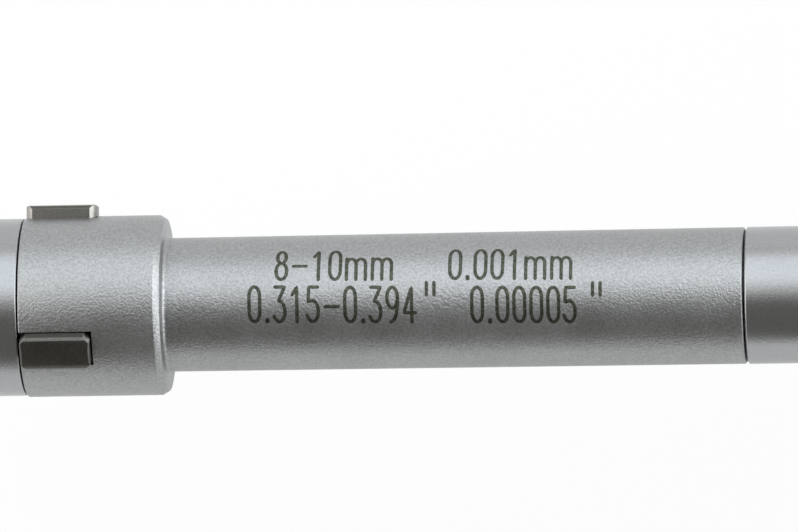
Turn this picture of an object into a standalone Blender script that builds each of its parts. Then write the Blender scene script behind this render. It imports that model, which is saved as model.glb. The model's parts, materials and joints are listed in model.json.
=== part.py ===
"""Electronic three-point inside micrometer for bores of 8 to 10 mm.

Stations are distances along the measuring axis, counted from the seam behind the end cap towards
the ratchet. The origin is the middle of the display housing's flat back, +X runs along the
measuring axis towards the ratchet, and +Z is the way the display faces.
"""

import math

import bmesh
import bpy
from mathutils import Matrix, Vector

MM = 0.001
TOLERANCE = 0.001 * MM

# Fits
SEAM = 0.06 * MM
SLIDE_FIT = 0.035 * MM
PRESS_FIT = 0.03 * MM
TURN_FIT = 0.1 * MM

# Facets: round a turned piece, round a ball and a turn of a spring, and over a rounded edge
FINE = 36
PLAIN = 20
SMALL = 10
BALL_FACETS = (16, 10)
COIL_STEPS = 10
CORNER_SEGMENTS = 4
ROUND_SEGMENTS = 2

# Measuring head and neck
HEAD_RADIUS = 3.90 * MM
HEAD_LENGTH = 5.87 * MM
HEAD_WALL = 1.865 * MM
SHOULDER_BEVEL_LENGTH = 0.26 * MM
SHOULDER_BEVEL_DEPTH = 0.30 * MM
SHOULDER_DEPTH = 1.005 * MM
NECK_LENGTH = 25.07 * MM
NECK_TAPER = 0.055 * MM
NECK_FILLET = 0.24 * MM
FILLET_ANGLES = (0.0, math.pi / 6, math.pi / 3, math.pi / 2)
SOCKET_WALL = 0.79 * MM
EDGE_BREAK = 0.06 * MM

# Anvils
ANVIL_COUNT = 3
ANVIL_LENGTH = 3.05 * MM
ANVIL_WIDTH = 1.57 * MM
ANVIL_PROUD = 0.50 * MM
ANVIL_FACE_RADIUS = 3.90 * MM
ANVIL_CORNER = 0.20 * MM
ANVIL_EDGE = 0.09 * MM
ANVIL_FACET_SHARES = (-0.8, -0.4, 0.4, 0.8)

# Measuring cone, whose slope drives the anvils
CONE_SLOPE = 0.5
CONE_RADIUS_AT_ANVIL = 0.95 * MM
CONE_NOSE = 0.55 * MM
CONE_LAND_LENGTH = 2.35 * MM
RAIL_NECK_WIDTH = 0.44 * MM
RAIL_NECK_HEIGHT = 0.22 * MM
RAIL_HEAD_WIDTH = 0.84 * MM
RAIL_HEAD_HEIGHT = 0.23 * MM
RAIL_ROOT = 0.24 * MM
ROD_TRAVEL_OUT = 1.2 * MM
ROD_TRAVEL_BACK = 0.8 * MM

# End cap and its screws
CAP_FLOOR = 0.53 * MM
CAP_STEP = 0.06 * MM
CAP_CHAMFER = 0.40 * MM
CAP_POCKET_CLEARANCE = 0.12 * MM
CAP_SCREW_INSET = 1.15 * MM
CAP_SCREW_HEAD_RADIUS = 0.62 * MM
CAP_SCREW_HEAD_HEIGHT = 0.42 * MM
CAP_SCREW_SHANK_RADIUS = 0.36 * MM
CAP_SCREW_LENGTH = 4.6 * MM
CAP_SCREW_SLOT = 0.22 * MM
CAP_SCREW_TURN = 1.0

# Push rod, its guide and its return spring
ROD_RADIUS = 1.1 * MM
ROD_REACH = 2.71 * MM
ROD_BORE_CLEARANCE = 0.2 * MM
ROD_TENON_RADIUS = 0.7 * MM
ROD_TENON_LENGTH = 1.4 * MM
ROD_COLLAR_LENGTH = 1.2 * MM
ROD_HEAD_LENGTH = 1.3 * MM
SPRING_ROOM = 9.8 * MM
SPRING_TURNS = 7
SPRING_WIRE_RADIUS = 0.16 * MM
BUSH_LENGTH = 3.0 * MM
BALL_RADIUS = 1.0 * MM
BALL_FIT = 0.05 * MM
BALL_RIM = 0.55 * MM

# Stem tube
STEM_STEP = 0.01 * MM
STEM_WALL = 0.66 * MM
STEM_LENGTH = 32.75 * MM
STEM_CHAMFER = 0.08 * MM
STEM_TENON_LENGTH = 3.8 * MM

# Nose collar and barrel
NOSE_FRONT_RADIUS = 4.5 * MM
NOSE_BACK_RADIUS = 9.0 * MM
NOSE_GRIP_LENGTH = 7.0 * MM
NOSE_CONE_LENGTH = 9.5 * MM
NOSE_BAND_LENGTH = 6.2 * MM
NOSE_CHAMFER = 0.4 * MM
NOSE_TO_HOUSING = 0.17 * MM
TUBE_RADIUS = 6.0 * MM
FLANGE_STEP = 1.0 * MM
FLANGE_LENGTH = 1.8 * MM
BARREL_TENON_RADIUS = 4.6 * MM

# Encoder discs and the rotor's bearing
ENCODER_INSET = 12.89 * MM
DISC_RADIUS = 8.5 * MM
DISC_THICKNESS = 1.2 * MM
DISC_GAP = 0.5 * MM
ROTOR_HUB_RADIUS = 4.4 * MM
ROTOR_HUB_PROUD = 0.52 * MM
BEARING_LENGTH = 5.7 * MM
BEARING_RIB = 3.0 * MM

# Spindle
SPINDLE_FRONT_RADIUS = 2.2 * MM
SPINDLE_BORE_CLEARANCE = 0.25 * MM
SPINDLE_STEP_CLEARANCE = 1.25 * MM
SPINDLE_MIDDLE_RADIUS = 2.9 * MM
THREAD_RADIUS = 3.2 * MM
THREAD_LEAD_IN = 2.94 * MM
TAPER_CLEARANCE = 3.16 * MM
TAPER_LARGE_RADIUS = 4.8 * MM
TAPER_SMALL_RADIUS = 3.8 * MM
TAPER_LENGTH = 5.8 * MM
STUD_RADIUS = 2.0 * MM
STUD_SET_BACK = 0.08 * MM

# Sleeve, spindle nut and adjusting nut
SLEEVE_RADIUS = 8.0 * MM
SLEEVE_WALL = 0.45 * MM
SLEEVE_LENGTH = 25.0 * MM
SLEEVE_SHOWN = 4.82 * MM
SLEEVE_CHAMFER = 0.3 * MM
NUT_LENGTH = 42.5 * MM
NUT_REACH = 4.5 * MM
NUT_SLITS = 3
NUT_SLIT_WIDTH = 0.5 * MM
NUT_SLIT_LENGTH = 8.5 * MM
ADJUSTER_STEP = 0.7 * MM
ADJUSTER_LENGTH = 3.2 * MM
ADJUSTER_SLOT_WIDTH = 1.2 * MM
ADJUSTER_SLOT_DEPTH = 0.8 * MM

# Thimble
THIMBLE_CLEARANCE = 0.25 * MM
THIMBLE_WALL = 1.25 * MM
THIMBLE_BEVEL_LENGTH = 3.0 * MM
THIMBLE_BEVEL_DEPTH = 1.0 * MM
THIMBLE_BACK_CHAMFER = 1.2 * MM

# Ratchet
RATCHET_BODY_RADIUS = 6.2 * MM
RATCHET_BODY_LENGTH = 3.2 * MM
KNOB_WALL = 2.4 * MM
KNOB_CLEARANCE = 0.6 * MM
KNOB_FLOOR = 3.0 * MM
KNOB_RIM = 1.5 * MM
KNOB_CHAMFER = 0.6 * MM
RATCHET_GAP = 0.3 * MM
RATCHET_SCREW_RADIUS = 1.2 * MM
RATCHET_SHOULDER_RADIUS = 1.7 * MM
RATCHET_SCREW_HEAD_RADIUS = 3.6 * MM
RATCHET_SCREW_HEAD_LENGTH = 2.0 * MM
RATCHET_SCREW_SLOT = 0.8 * MM
RATCHET_SPRING_ROOM = 4.0 * MM
RATCHET_SPRING_CLEARANCE = 0.6 * MM
RATCHET_SPRING_WIRE_RADIUS = 0.3 * MM
RATCHET_SPRING_TURNS = 4
TAPPED_DEPTH = 6.0 * MM

# Display housing, whose height follows from what it holds
HOUSING_LENGTH = 52.0 * MM
HOUSING_WIDTH = 34.0 * MM
HOUSING_WALL = 2.0 * MM
HOUSING_CORNER = 6.0 * MM
HOUSING_TOP_ROUND = 1.8 * MM
HOUSING_BACK_ROUND = 1.0 * MM
POST_RADIUS = 2.6 * MM
POST_INSET_X = 4.6 * MM
POST_INSET_Y = 4.6 * MM
HOUSING_SCREW_RADIUS = 0.95 * MM
HOUSING_SCREW_HEAD_RADIUS = 1.8 * MM
HOUSING_SCREW_HEAD_HEIGHT = 1.1 * MM
HOUSING_SCREW_LENGTH = 18.0 * MM
HOUSING_SCREW_RECESS = 0.3 * MM
HOUSING_SCREW_SLOT = 0.5 * MM
HOUSING_SCREW_TURN = 0.7

# Window, display panel and circuit board
WINDOW_END_MARGIN = 11.0 * MM
WINDOW_SIDE_MARGIN = 5.5 * MM
WINDOW_THICKNESS = 1.2 * MM
WINDOW_LEDGE = 1.2 * MM
WINDOW_CORNER = 1.5 * MM
PANEL_END_MARGIN = 1.0 * MM
PANEL_SIDE_MARGIN = 0.7 * MM
PANEL_THICKNESS = 2.5 * MM
PANEL_TO_BOARD = 0.13 * MM
BOARD_THICKNESS = 1.0 * MM
BOARD_TO_POST = 0.8 * MM
BOARD_TO_WALL = 1.5 * MM
DISC_TO_BOARD = 0.75 * MM
STANDOFF_RADIUS = 1.25 * MM
STANDOFF_INSET = 1.45 * MM
BOARD_SCREW_RADIUS = 0.6 * MM
BOARD_SCREW_HEAD_RADIUS = 1.1 * MM
BOARD_SCREW_HEAD_HEIGHT = 0.7 * MM
BOARD_SCREW_LENGTH = 2.6 * MM

# Buttons and the switches under them
BUTTON_COUNT = 3
BUTTON_WIDTH = 4.4 * MM
BUTTON_SIDE_MARGIN = 5.3 * MM
BUTTON_TO_WINDOW = 4.8 * MM
BUTTON_TO_STANDOFF = 0.4 * MM
BUTTON_GAP = 0.8 * MM
BUTTON_RISE = 0.9 * MM
BUTTON_TRAVEL = 0.5 * MM
BUTTON_FLANGE = 0.7 * MM
BUTTON_FLANGE_THICKNESS = 0.8 * MM
BUTTON_CLEARANCE = 0.15 * MM
BUTTON_ROUNDNESS = 0.91
SWITCH_SIDE = 2.6 * MM
SWITCH_HEIGHT = 0.5 * MM

# Battery and its cap
BATTERY_RADIUS = 10.0 * MM
BATTERY_THICKNESS = 3.2 * MM
BATTERY_INSET = 1.35 * MM
BATTERY_CAP_LIP = 0.65 * MM
BATTERY_CAP_THICKNESS = 1.5 * MM
BATTERY_CAP_RECESS = 0.2 * MM
BATTERY_WELL_WALL = 1.2 * MM
BATTERY_CLEARANCE = 0.15 * MM
BOSS_TO_FLANGE = 0.29 * MM
CONTACT_LENGTH = 13.0 * MM
CONTACT_WIDTH = 5.0 * MM
CONTACT_THICKNESS = 0.25 * MM
COIN_SLOT_LENGTH = 13.0 * MM
COIN_SLOT_WIDTH = 1.8 * MM
COIN_SLOT_DEPTH = 0.8 * MM

# Radii that follow from their neighbours'
CAP_RADIUS = HEAD_RADIUS - CAP_STEP
CAP_SCREW_CIRCLE = HEAD_RADIUS - CAP_SCREW_INSET
ANVIL_TIP_RADIUS = HEAD_RADIUS + ANVIL_PROUD
CONE_LAND_RADIUS = HEAD_RADIUS - HEAD_WALL - SLIDE_FIT
NECK_FRONT_RADIUS = HEAD_RADIUS - SHOULDER_DEPTH
NECK_BACK_RADIUS = NECK_FRONT_RADIUS + NECK_TAPER
STEM_RADIUS = NECK_BACK_RADIUS + STEM_STEP
STEM_BORE_RADIUS = STEM_RADIUS - STEM_WALL
STEM_TENON_RADIUS = NECK_BACK_RADIUS - SOCKET_WALL
ROD_COLLAR_RADIUS = STEM_BORE_RADIUS - 2 * TURN_FIT
SPRING_RADIUS = (ROD_RADIUS + STEM_BORE_RADIUS) / 2
ROD_HEAD_RADIUS = BALL_RADIUS + BALL_FIT + BALL_RIM
FLANGE_RADIUS = TUBE_RADIUS + FLANGE_STEP
SLEEVE_BORE_RADIUS = TUBE_RADIUS - SLEEVE_WALL
ADJUSTER_RADIUS = SLEEVE_RADIUS - ADJUSTER_STEP
THIMBLE_BORE_RADIUS = SLEEVE_RADIUS + THIMBLE_CLEARANCE
THIMBLE_RADIUS = THIMBLE_BORE_RADIUS + THIMBLE_WALL
KNOB_CAVITY_RADIUS = RATCHET_SCREW_HEAD_RADIUS + KNOB_CLEARANCE
KNOB_RADIUS = KNOB_CAVITY_RADIUS + KNOB_WALL
RATCHET_SPRING_RADIUS = RATCHET_SHOULDER_RADIUS + RATCHET_SPRING_WIRE_RADIUS + RATCHET_SPRING_CLEARANCE
BATTERY_CAP_RADIUS = BATTERY_RADIUS + BATTERY_CLEARANCE + BATTERY_CAP_LIP

# Stations along the measuring axis, from the end cap to the housing
ANVIL_START = SEAM
ANVIL_END = ANVIL_START + ANVIL_LENGTH
CONE_START = ANVIL_START - CONE_NOSE
CAP_POCKET_END = CONE_START - ROD_TRAVEL_OUT - 3 * SEAM
CAP_START = CAP_POCKET_END - CAP_FLOOR
LAND_START = ANVIL_START + (CONE_LAND_RADIUS - CONE_RADIUS_AT_ANVIL) / CONE_SLOPE
LAND_END = LAND_START + CONE_LAND_LENGTH
CONE_BORE_END = LAND_END + ROD_TRAVEL_BACK + 5 * SEAM
SHOULDER_STATION = HEAD_LENGTH + SHOULDER_BEVEL_LENGTH
NECK_END = SHOULDER_STATION + NECK_LENGTH
STEM_START = NECK_END + SEAM
STEM_END = STEM_START + STEM_LENGTH
NOSE_STEP = STEM_END + 2 * SEAM
NOSE_START = NOSE_STEP - NOSE_GRIP_LENGTH
NOSE_END = NOSE_START + NOSE_CONE_LENGTH + NOSE_BAND_LENGTH
HOUSING_FRONT_STATION = NOSE_END + NOSE_TO_HOUSING
HOUSING_BACK_STATION = HOUSING_FRONT_STATION + HOUSING_LENGTH
SEAM_TO_ORIGIN = HOUSING_FRONT_STATION + HOUSING_LENGTH / 2

# Stations of the fixed pieces behind the nose
BARREL_START = NOSE_STEP + SEAM
BARREL_SHOULDER = HOUSING_FRONT_STATION + ENCODER_INSET
STATOR_START = BARREL_SHOULDER + 3 * SEAM
STATOR_END = STATOR_START + DISC_THICKNESS
ROTOR_START = STATOR_END + DISC_GAP
BARREL_END = ROTOR_START - 3 * SEAM
ROTOR_BACK = ROTOR_START + DISC_THICKNESS
BEARING_START = ROTOR_BACK + 3 * SEAM
BEARING_END = BEARING_START + BEARING_LENGTH
HUB_END = BEARING_END + ROTOR_HUB_PROUD
SLEEVE_START = HUB_END + 10 * SEAM
SLEEVE_SHOULDER = HOUSING_BACK_STATION + 3 * SEAM
SLEEVE_END = SLEEVE_SHOULDER + SLEEVE_LENGTH
NUT_END = SLEEVE_END + NUT_REACH
NUT_START = NUT_END - NUT_LENGTH

# Stations of the rod and of what turns
ROD_START = LAND_END + PRESS_FIT
ROD_END = NOSE_STEP + ROD_REACH
COLLAR_START = NOSE_START + NOSE_GRIP_LENGTH / 2
BUSH_END = COLLAR_START - SPRING_ROOM - 2 * SEAM
BALL_STATION = ROD_END + BALL_RADIUS / 2
SPINDLE_START = BALL_STATION + BALL_RADIUS / 2
SPINDLE_STEP = BARREL_END + ROD_TRAVEL_OUT + SPINDLE_STEP_CLEARANCE
THREAD_START = NUT_START - THREAD_LEAD_IN
TAPER_START = NUT_END + ROD_TRAVEL_OUT + TAPER_CLEARANCE
THREAD_END = TAPER_START - 5 * SEAM
TAPER_END = TAPER_START + TAPER_LENGTH
THIMBLE_START = SLEEVE_SHOULDER + SLEEVE_SHOWN
THIMBLE_END = TAPER_END + 10 * SEAM
RATCHET_START = THIMBLE_END + 3 * SEAM
RATCHET_BODY_END = RATCHET_START + RATCHET_BODY_LENGTH
STUD_END = RATCHET_BODY_END - STUD_SET_BACK
KNOB_START = RATCHET_BODY_END + RATCHET_GAP
SPRING_SEAT = KNOB_START + KNOB_FLOOR
SCREW_HEAD_START = SPRING_SEAT + RATCHET_SPRING_ROOM
SCREW_HEAD_END = SCREW_HEAD_START + RATCHET_SCREW_HEAD_LENGTH
KNOB_END = SCREW_HEAD_END + KNOB_RIM

# Heights in the housing, from its back to its face
BATTERY_BASE = BATTERY_CAP_RECESS + BATTERY_CAP_THICKNESS + 2 * SEAM
CONTACT_BASE = BATTERY_BASE + BATTERY_THICKNESS + SEAM
WELL_CEILING = CONTACT_BASE + CONTACT_THICKNESS + 3 * SEAM
BOSS_TOP = WELL_CEILING + BATTERY_WELL_WALL
AXIS_HEIGHT = BOSS_TOP + BOSS_TO_FLANGE + FLANGE_RADIUS
BOARD_BASE = AXIS_HEIGHT + DISC_RADIUS + DISC_TO_BOARD
BOARD_TOP = BOARD_BASE + BOARD_THICKNESS
PANEL_BASE = BOARD_TOP + PANEL_TO_BOARD
PLATE_UNDERSIDE = PANEL_BASE + PANEL_THICKNESS + 2 * SEAM
HOUSING_HEIGHT = PLATE_UNDERSIDE + HOUSING_WALL

# Places in the housing, seen from its face
HALF_LENGTH = HOUSING_LENGTH / 2
HALF_WIDTH = HOUSING_WIDTH / 2
POST_X = HALF_LENGTH - POST_INSET_X
POST_Y = HALF_WIDTH - POST_INSET_Y
BOARD_LENGTH = 2 * (POST_X - POST_RADIUS - BOARD_TO_POST)
BOARD_WIDTH = 2 * (HALF_WIDTH - HOUSING_WALL - BOARD_TO_WALL)
STANDOFF_X = BOARD_LENGTH / 2 - STANDOFF_INSET
STANDOFF_Y = BOARD_WIDTH / 2 - STANDOFF_INSET
BUTTON_ROW = 2 * (STANDOFF_X - STANDOFF_RADIUS - BUTTON_TO_STANDOFF)
BUTTON_ROOM = (BUTTON_ROW - (BUTTON_COUNT - 1) * BUTTON_GAP) / BUTTON_COUNT
BUTTON_LENGTH = BUTTON_ROOM - 2 * BUTTON_FLANGE
BUTTON_PITCH = BUTTON_ROOM + BUTTON_GAP
BUTTON_CORNER = BUTTON_ROUNDNESS * min(BUTTON_LENGTH, BUTTON_WIDTH) / 2
BUTTON_OFFSET_Y = BUTTON_SIDE_MARGIN + BUTTON_WIDTH / 2 - HALF_WIDTH
WINDOW_LENGTH = HOUSING_LENGTH - 2 * WINDOW_END_MARGIN
WINDOW_EDGE_Y = BUTTON_OFFSET_Y + BUTTON_WIDTH / 2 + BUTTON_TO_WINDOW
WINDOW_WIDTH = HALF_WIDTH - WINDOW_SIDE_MARGIN - WINDOW_EDGE_Y
WINDOW_OFFSET_Y = WINDOW_EDGE_Y + WINDOW_WIDTH / 2
PANEL_LENGTH = WINDOW_LENGTH - 2 * PANEL_END_MARGIN
PANEL_WIDTH = WINDOW_WIDTH - 2 * PANEL_SIDE_MARGIN
WELL_RADIUS = BATTERY_CAP_RADIUS + BATTERY_CLEARANCE
BATTERY_PLACE = (HALF_LENGTH - BATTERY_INSET - BATTERY_WELL_WALL - WELL_RADIUS, 0.0)

# Directions round the measuring axis
SLOT_ANGLES = [math.pi / 2 + math.tau * i / ANVIL_COUNT for i in range(ANVIL_COUNT)]
SCREW_ANGLES = [angle + math.pi / ANVIL_COUNT for angle in SLOT_ANGLES]
SLOPE_LENGTH = math.hypot(1.0, CONE_SLOPE)


def remove_old_objects():
    for obj in list(bpy.data.objects):
        bpy.data.objects.remove(obj, do_unlink=True)


def make_collection(name):
    collection = bpy.data.collections.new(name)
    bpy.context.scene.collection.children.link(collection)
    return collection


def make_finish(name, colour, roughness, metallic):
    """A plain Principled material."""
    material = bpy.data.materials.new(name)
    material.use_nodes = True
    shader = material.node_tree.nodes["Principled BSDF"]
    shader.inputs["Base Color"].default_value = (*colour, 1.0)
    shader.inputs["Roughness"].default_value = roughness
    shader.inputs["Metallic"].default_value = metallic
    return material


remove_old_objects()
PIECES = make_collection("inside_micrometer")
CUTTERS = make_collection("cutters")

SATIN_CHROME = make_finish("satin_chrome", (0.66, 0.67, 0.67), 0.45, 1.0)
SMOOTH_CHROME = make_finish("smooth_chrome", (0.70, 0.71, 0.72), 0.28, 1.0)
DARK_CARBIDE = make_finish("dark_carbide", (0.20, 0.19, 0.17), 0.25, 1.0)
STEEL = make_finish("steel", (0.60, 0.60, 0.60), 0.35, 1.0)
BRASS = make_finish("brass", (0.72, 0.56, 0.28), 0.35, 1.0)
GREY_PLASTIC = make_finish("grey_plastic", (0.22, 0.23, 0.24), 0.50, 0.0)
DARK_PLASTIC = make_finish("dark_plastic", (0.05, 0.05, 0.055), 0.45, 0.0)
BUTTON_RUBBER = make_finish("button_rubber", (0.10, 0.10, 0.11), 0.60, 0.0)
WINDOW_CLEAR = make_finish("window_clear", (0.85, 0.88, 0.88), 0.05, 0.0)
PANEL_GREY = make_finish("panel_grey", (0.50, 0.53, 0.47), 0.30, 0.0)
BOARD_GREEN = make_finish("board_green", (0.05, 0.22, 0.12), 0.50, 0.0)


def make_guide(name, location, rotation=(0.0, 0.0, 0.0)):
    """An empty that carries the pieces of one axis."""
    guide = bpy.data.objects.new(name, None)
    guide.location = location
    guide.rotation_euler = rotation
    guide.empty_display_size = 5 * MM
    PIECES.objects.link(guide)
    return guide


# Its local Z runs along the measuring axis, and its local X points down
MEASURING_AXIS = make_guide(
    "measuring_axis", (-SEAM_TO_ORIGIN, 0.0, AXIS_HEIGHT), (0.0, math.pi / 2, 0.0)
)


def add_mesh(name, mesh, finish, parent=None):
    """A named piece, or a cutter where it has no finish."""
    obj = bpy.data.objects.new(name, mesh)
    obj.parent = parent
    if finish is None:
        CUTTERS.objects.link(obj)
        obj.hide_render = True
        obj.display_type = "WIRE"
    else:
        PIECES.objects.link(obj)
        mesh.materials.append(finish)
    return obj


def mesh_from(bm, name):
    bmesh.ops.recalc_face_normals(bm, faces=bm.faces)
    mesh = bpy.data.meshes.new(name)
    bm.to_mesh(mesh)
    bm.free()
    return mesh


def add_boolean(target, tool, operation):
    modifier = target.modifiers.new(tool.name, "BOOLEAN")
    modifier.operation = operation
    modifier.solver = "EXACT"
    modifier.object = tool


def cut(target, *tools):
    for tool in tools:
        add_boolean(target, tool, "DIFFERENCE")


def join(target, *tools):
    for tool in tools:
        add_boolean(target, tool, "UNION")


def add_turned(name, outline, finish, facets=FINE, closed=False, parent=MEASURING_AXIS, place=(0.0, 0.0)):
    """A lathe piece from (station, radius) points that run round the outside from front to back.

    A solid piece's outline starts and ends on the axis. A closed one comes back through its bore.
    """
    mesh = bpy.data.meshes.new(name)
    points = [(radius, 0.0, station) for station, radius in reversed(outline)]
    edges = [(i, i + 1) for i in range(len(points) - 1)]
    if closed:
        edges.append((len(points) - 1, 0))
    mesh.from_pydata(points, edges, [])
    obj = add_mesh(name, mesh, finish, parent)
    obj.location = (*place, 0.0)
    screw = obj.modifiers.new("turn", "SCREW")
    screw.axis = "Z"
    screw.angle = math.tau
    screw.steps = facets
    screw.render_steps = facets
    screw.use_merge_vertices = True
    screw.merge_threshold = TOLERANCE
    screw.use_smooth_shade = True
    return obj


def rod_outline(start, end, radius, chamfer=0.0):
    """The outline of a plain solid cylinder."""
    if not chamfer:
        return [(start, 0.0), (start, radius), (end, radius), (end, 0.0)]
    return [
        (start, 0.0),
        (start, radius - chamfer),
        (start + chamfer, radius),
        (end - chamfer, radius),
        (end, radius - chamfer),
        (end, 0.0),
    ]


def tube_outline(outside, bore):
    """The outline of a turned piece with a hole through it, both given from front to back."""
    return outside + list(reversed(bore))


def box_mesh(name, low, high):
    bm = bmesh.new()
    bmesh.ops.create_cube(bm, size=1.0)
    low, high = Vector(low), Vector(high)
    middle = (low + high) / 2
    size = high - low
    bmesh.ops.scale(bm, vec=size, verts=bm.verts)
    bmesh.ops.translate(bm, vec=middle, verts=bm.verts)
    return mesh_from(bm, name)


def add_box(name, low, high, finish=None, parent=None, turn=0.0):
    obj = add_mesh(name, box_mesh(name, low, high), finish, parent)
    obj.rotation_euler = (0.0, 0.0, turn)
    return obj


def bevel_edges(bm, edges, width, segments):
    bmesh.ops.bevel(
        bm,
        geom=edges,
        offset=width,
        offset_type="OFFSET",
        segments=segments,
        profile=0.5,
        affect="EDGES",
    )


def level_edges(bm, height):
    """The rim of the flat face at this height."""
    return [e for e in bm.edges if all(abs(v.co.z - height) < TOLERANCE for v in e.verts)]


def add_rounded_box(name, low, high, corner, finish=None, top_round=0.0, base_round=0.0):
    """A box whose upright edges are rounded, and its top and base rims where asked."""
    bm = bmesh.new()
    bmesh.ops.create_cube(bm, size=1.0)
    low, high = Vector(low), Vector(high)
    middle = (low + high) / 2
    bmesh.ops.scale(bm, vec=high - low, verts=bm.verts)
    bmesh.ops.translate(bm, vec=(0.0, 0.0, middle.z), verts=bm.verts)
    upright = [e for e in bm.edges if abs(e.verts[0].co.z - e.verts[1].co.z) > TOLERANCE]
    bevel_edges(bm, upright, corner, CORNER_SEGMENTS)
    if top_round:
        bevel_edges(bm, level_edges(bm, high.z), top_round, ROUND_SEGMENTS)
    if base_round:
        bevel_edges(bm, level_edges(bm, low.z), base_round, ROUND_SEGMENTS)
    obj = add_mesh(name, mesh_from(bm, name), finish)
    obj.location = (middle.x, middle.y, 0.0)
    return obj


def blind_post_outline(base, top, radius, hole_radius, hole_top):
    """The outline of a round post with a blind screw hole in its foot."""
    return [
        (hole_top, 0.0),
        (hole_top, hole_radius),
        (base, hole_radius),
        (base, radius),
        (top, radius),
        (top, 0.0),
    ]


def add_upright(name, outline, finish, place, facets=PLAIN, turn=0.0):
    """A turned piece that stands along Z, its outline given from bottom to top."""
    obj = add_turned(name, outline, finish, facets, parent=None, place=place)
    obj.rotation_euler = (0.0, 0.0, turn)
    return obj


def add_coil(name, start, end, turns, radius, wire_radius, finish):
    """A compression spring round the measuring axis."""
    count = turns * COIL_STEPS + 1
    curve = bpy.data.curves.new(name, "CURVE")
    curve.dimensions = "3D"
    curve.bevel_depth = wire_radius
    curve.bevel_resolution = 2
    curve.use_fill_caps = True
    spline = curve.splines.new("POLY")
    spline.points.add(count - 1)
    first, last = start + wire_radius, end - wire_radius
    for i, point in enumerate(spline.points):
        angle = math.tau * i / COIL_STEPS
        station = first + (last - first) * i / (count - 1)
        point.co = (radius * math.cos(angle), radius * math.sin(angle), station, 1.0)
    curve.materials.append(finish)
    obj = bpy.data.objects.new(name, curve)
    PIECES.objects.link(obj)
    obj.parent = MEASURING_AXIS
    return obj


def cone_radius(station, offset=0.0):
    """The cone's radius at a station, or of a surface parallel to it."""
    return CONE_RADIUS_AT_ANVIL + CONE_SLOPE * (station - ANVIL_START) + offset * SLOPE_LENGTH


def add_key(name, turn, start, end, clearance):
    """A T-shaped bar along the cone's slope: a rail, or with a clearance the keyway round one."""
    neck = RAIL_NECK_WIDTH / 2 + clearance
    head = RAIL_HEAD_WIDTH / 2 + clearance
    step = RAIL_NECK_HEIGHT - clearance
    top = RAIL_NECK_HEIGHT + RAIL_HEAD_HEIGHT + clearance
    half = [(-RAIL_ROOT, neck), (step, neck), (step, head), (top, head)]
    section = half + [(height, -across) for height, across in reversed(half)]
    bm = bmesh.new()
    face = bm.faces.new([bm.verts.new((height, across, start)) for height, across in section])
    swept = bmesh.ops.extrude_face_region(bm, geom=[face])["geom"]
    moved = [v for v in swept if isinstance(v, bmesh.types.BMVert)]
    bmesh.ops.translate(bm, vec=(0.0, 0.0, end - start), verts=moved)
    mesh = mesh_from(bm, name)
    outwards = Vector((1.0, 0.0, -CONE_SLOPE)).normalized()
    along = Vector((CONE_SLOPE, 0.0, 1.0)).normalized()
    lean = Matrix((outwards, (0.0, 1.0, 0.0), along)).transposed().to_4x4()
    seat = Matrix.Translation((CONE_RADIUS_AT_ANVIL, 0.0, ANVIL_START))
    mesh.transform(seat @ lean)
    obj = add_mesh(name, mesh, None, MEASURING_AXIS)
    obj.rotation_euler = (0.0, 0.0, turn)
    return obj


def make_measuring_cone():
    """The ground cone, with one T-shaped rail under each anvil."""
    outline = [
        (CONE_START, 0.0),
        (CONE_START, cone_radius(CONE_START)),
        (LAND_START, CONE_LAND_RADIUS),
        (LAND_END - EDGE_BREAK, CONE_LAND_RADIUS),
        (LAND_END, CONE_LAND_RADIUS - EDGE_BREAK),
        (LAND_END, ROD_TENON_RADIUS + PRESS_FIT),
        (LAND_END - ROD_TENON_LENGTH - SEAM, ROD_TENON_RADIUS + PRESS_FIT),
        (LAND_END - ROD_TENON_LENGTH - SEAM, 0.0),
    ]
    cone = add_turned("measuring_cone", outline, STEEL, 8 * ANVIL_COUNT)
    start = (CONE_START + SEAM - ANVIL_START) * SLOPE_LENGTH
    end = (LAND_START - 3 * SEAM - ANVIL_START) * SLOPE_LENGTH
    for i, turn in enumerate(SLOT_ANGLES):
        join(cone, add_key(f"rail_{i + 1}", turn, start, end, 0.0))


def slice_off(bm, point, normal):
    """Cuts away what lies past a plane and closes the cut."""
    geometry = bm.verts[:] + bm.edges[:] + bm.faces[:]
    bmesh.ops.bisect_plane(bm, geom=geometry, plane_co=point, plane_no=normal, clear_outer=True)
    bmesh.ops.holes_fill(bm, edges=[e for e in bm.edges if e.is_boundary])


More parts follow.
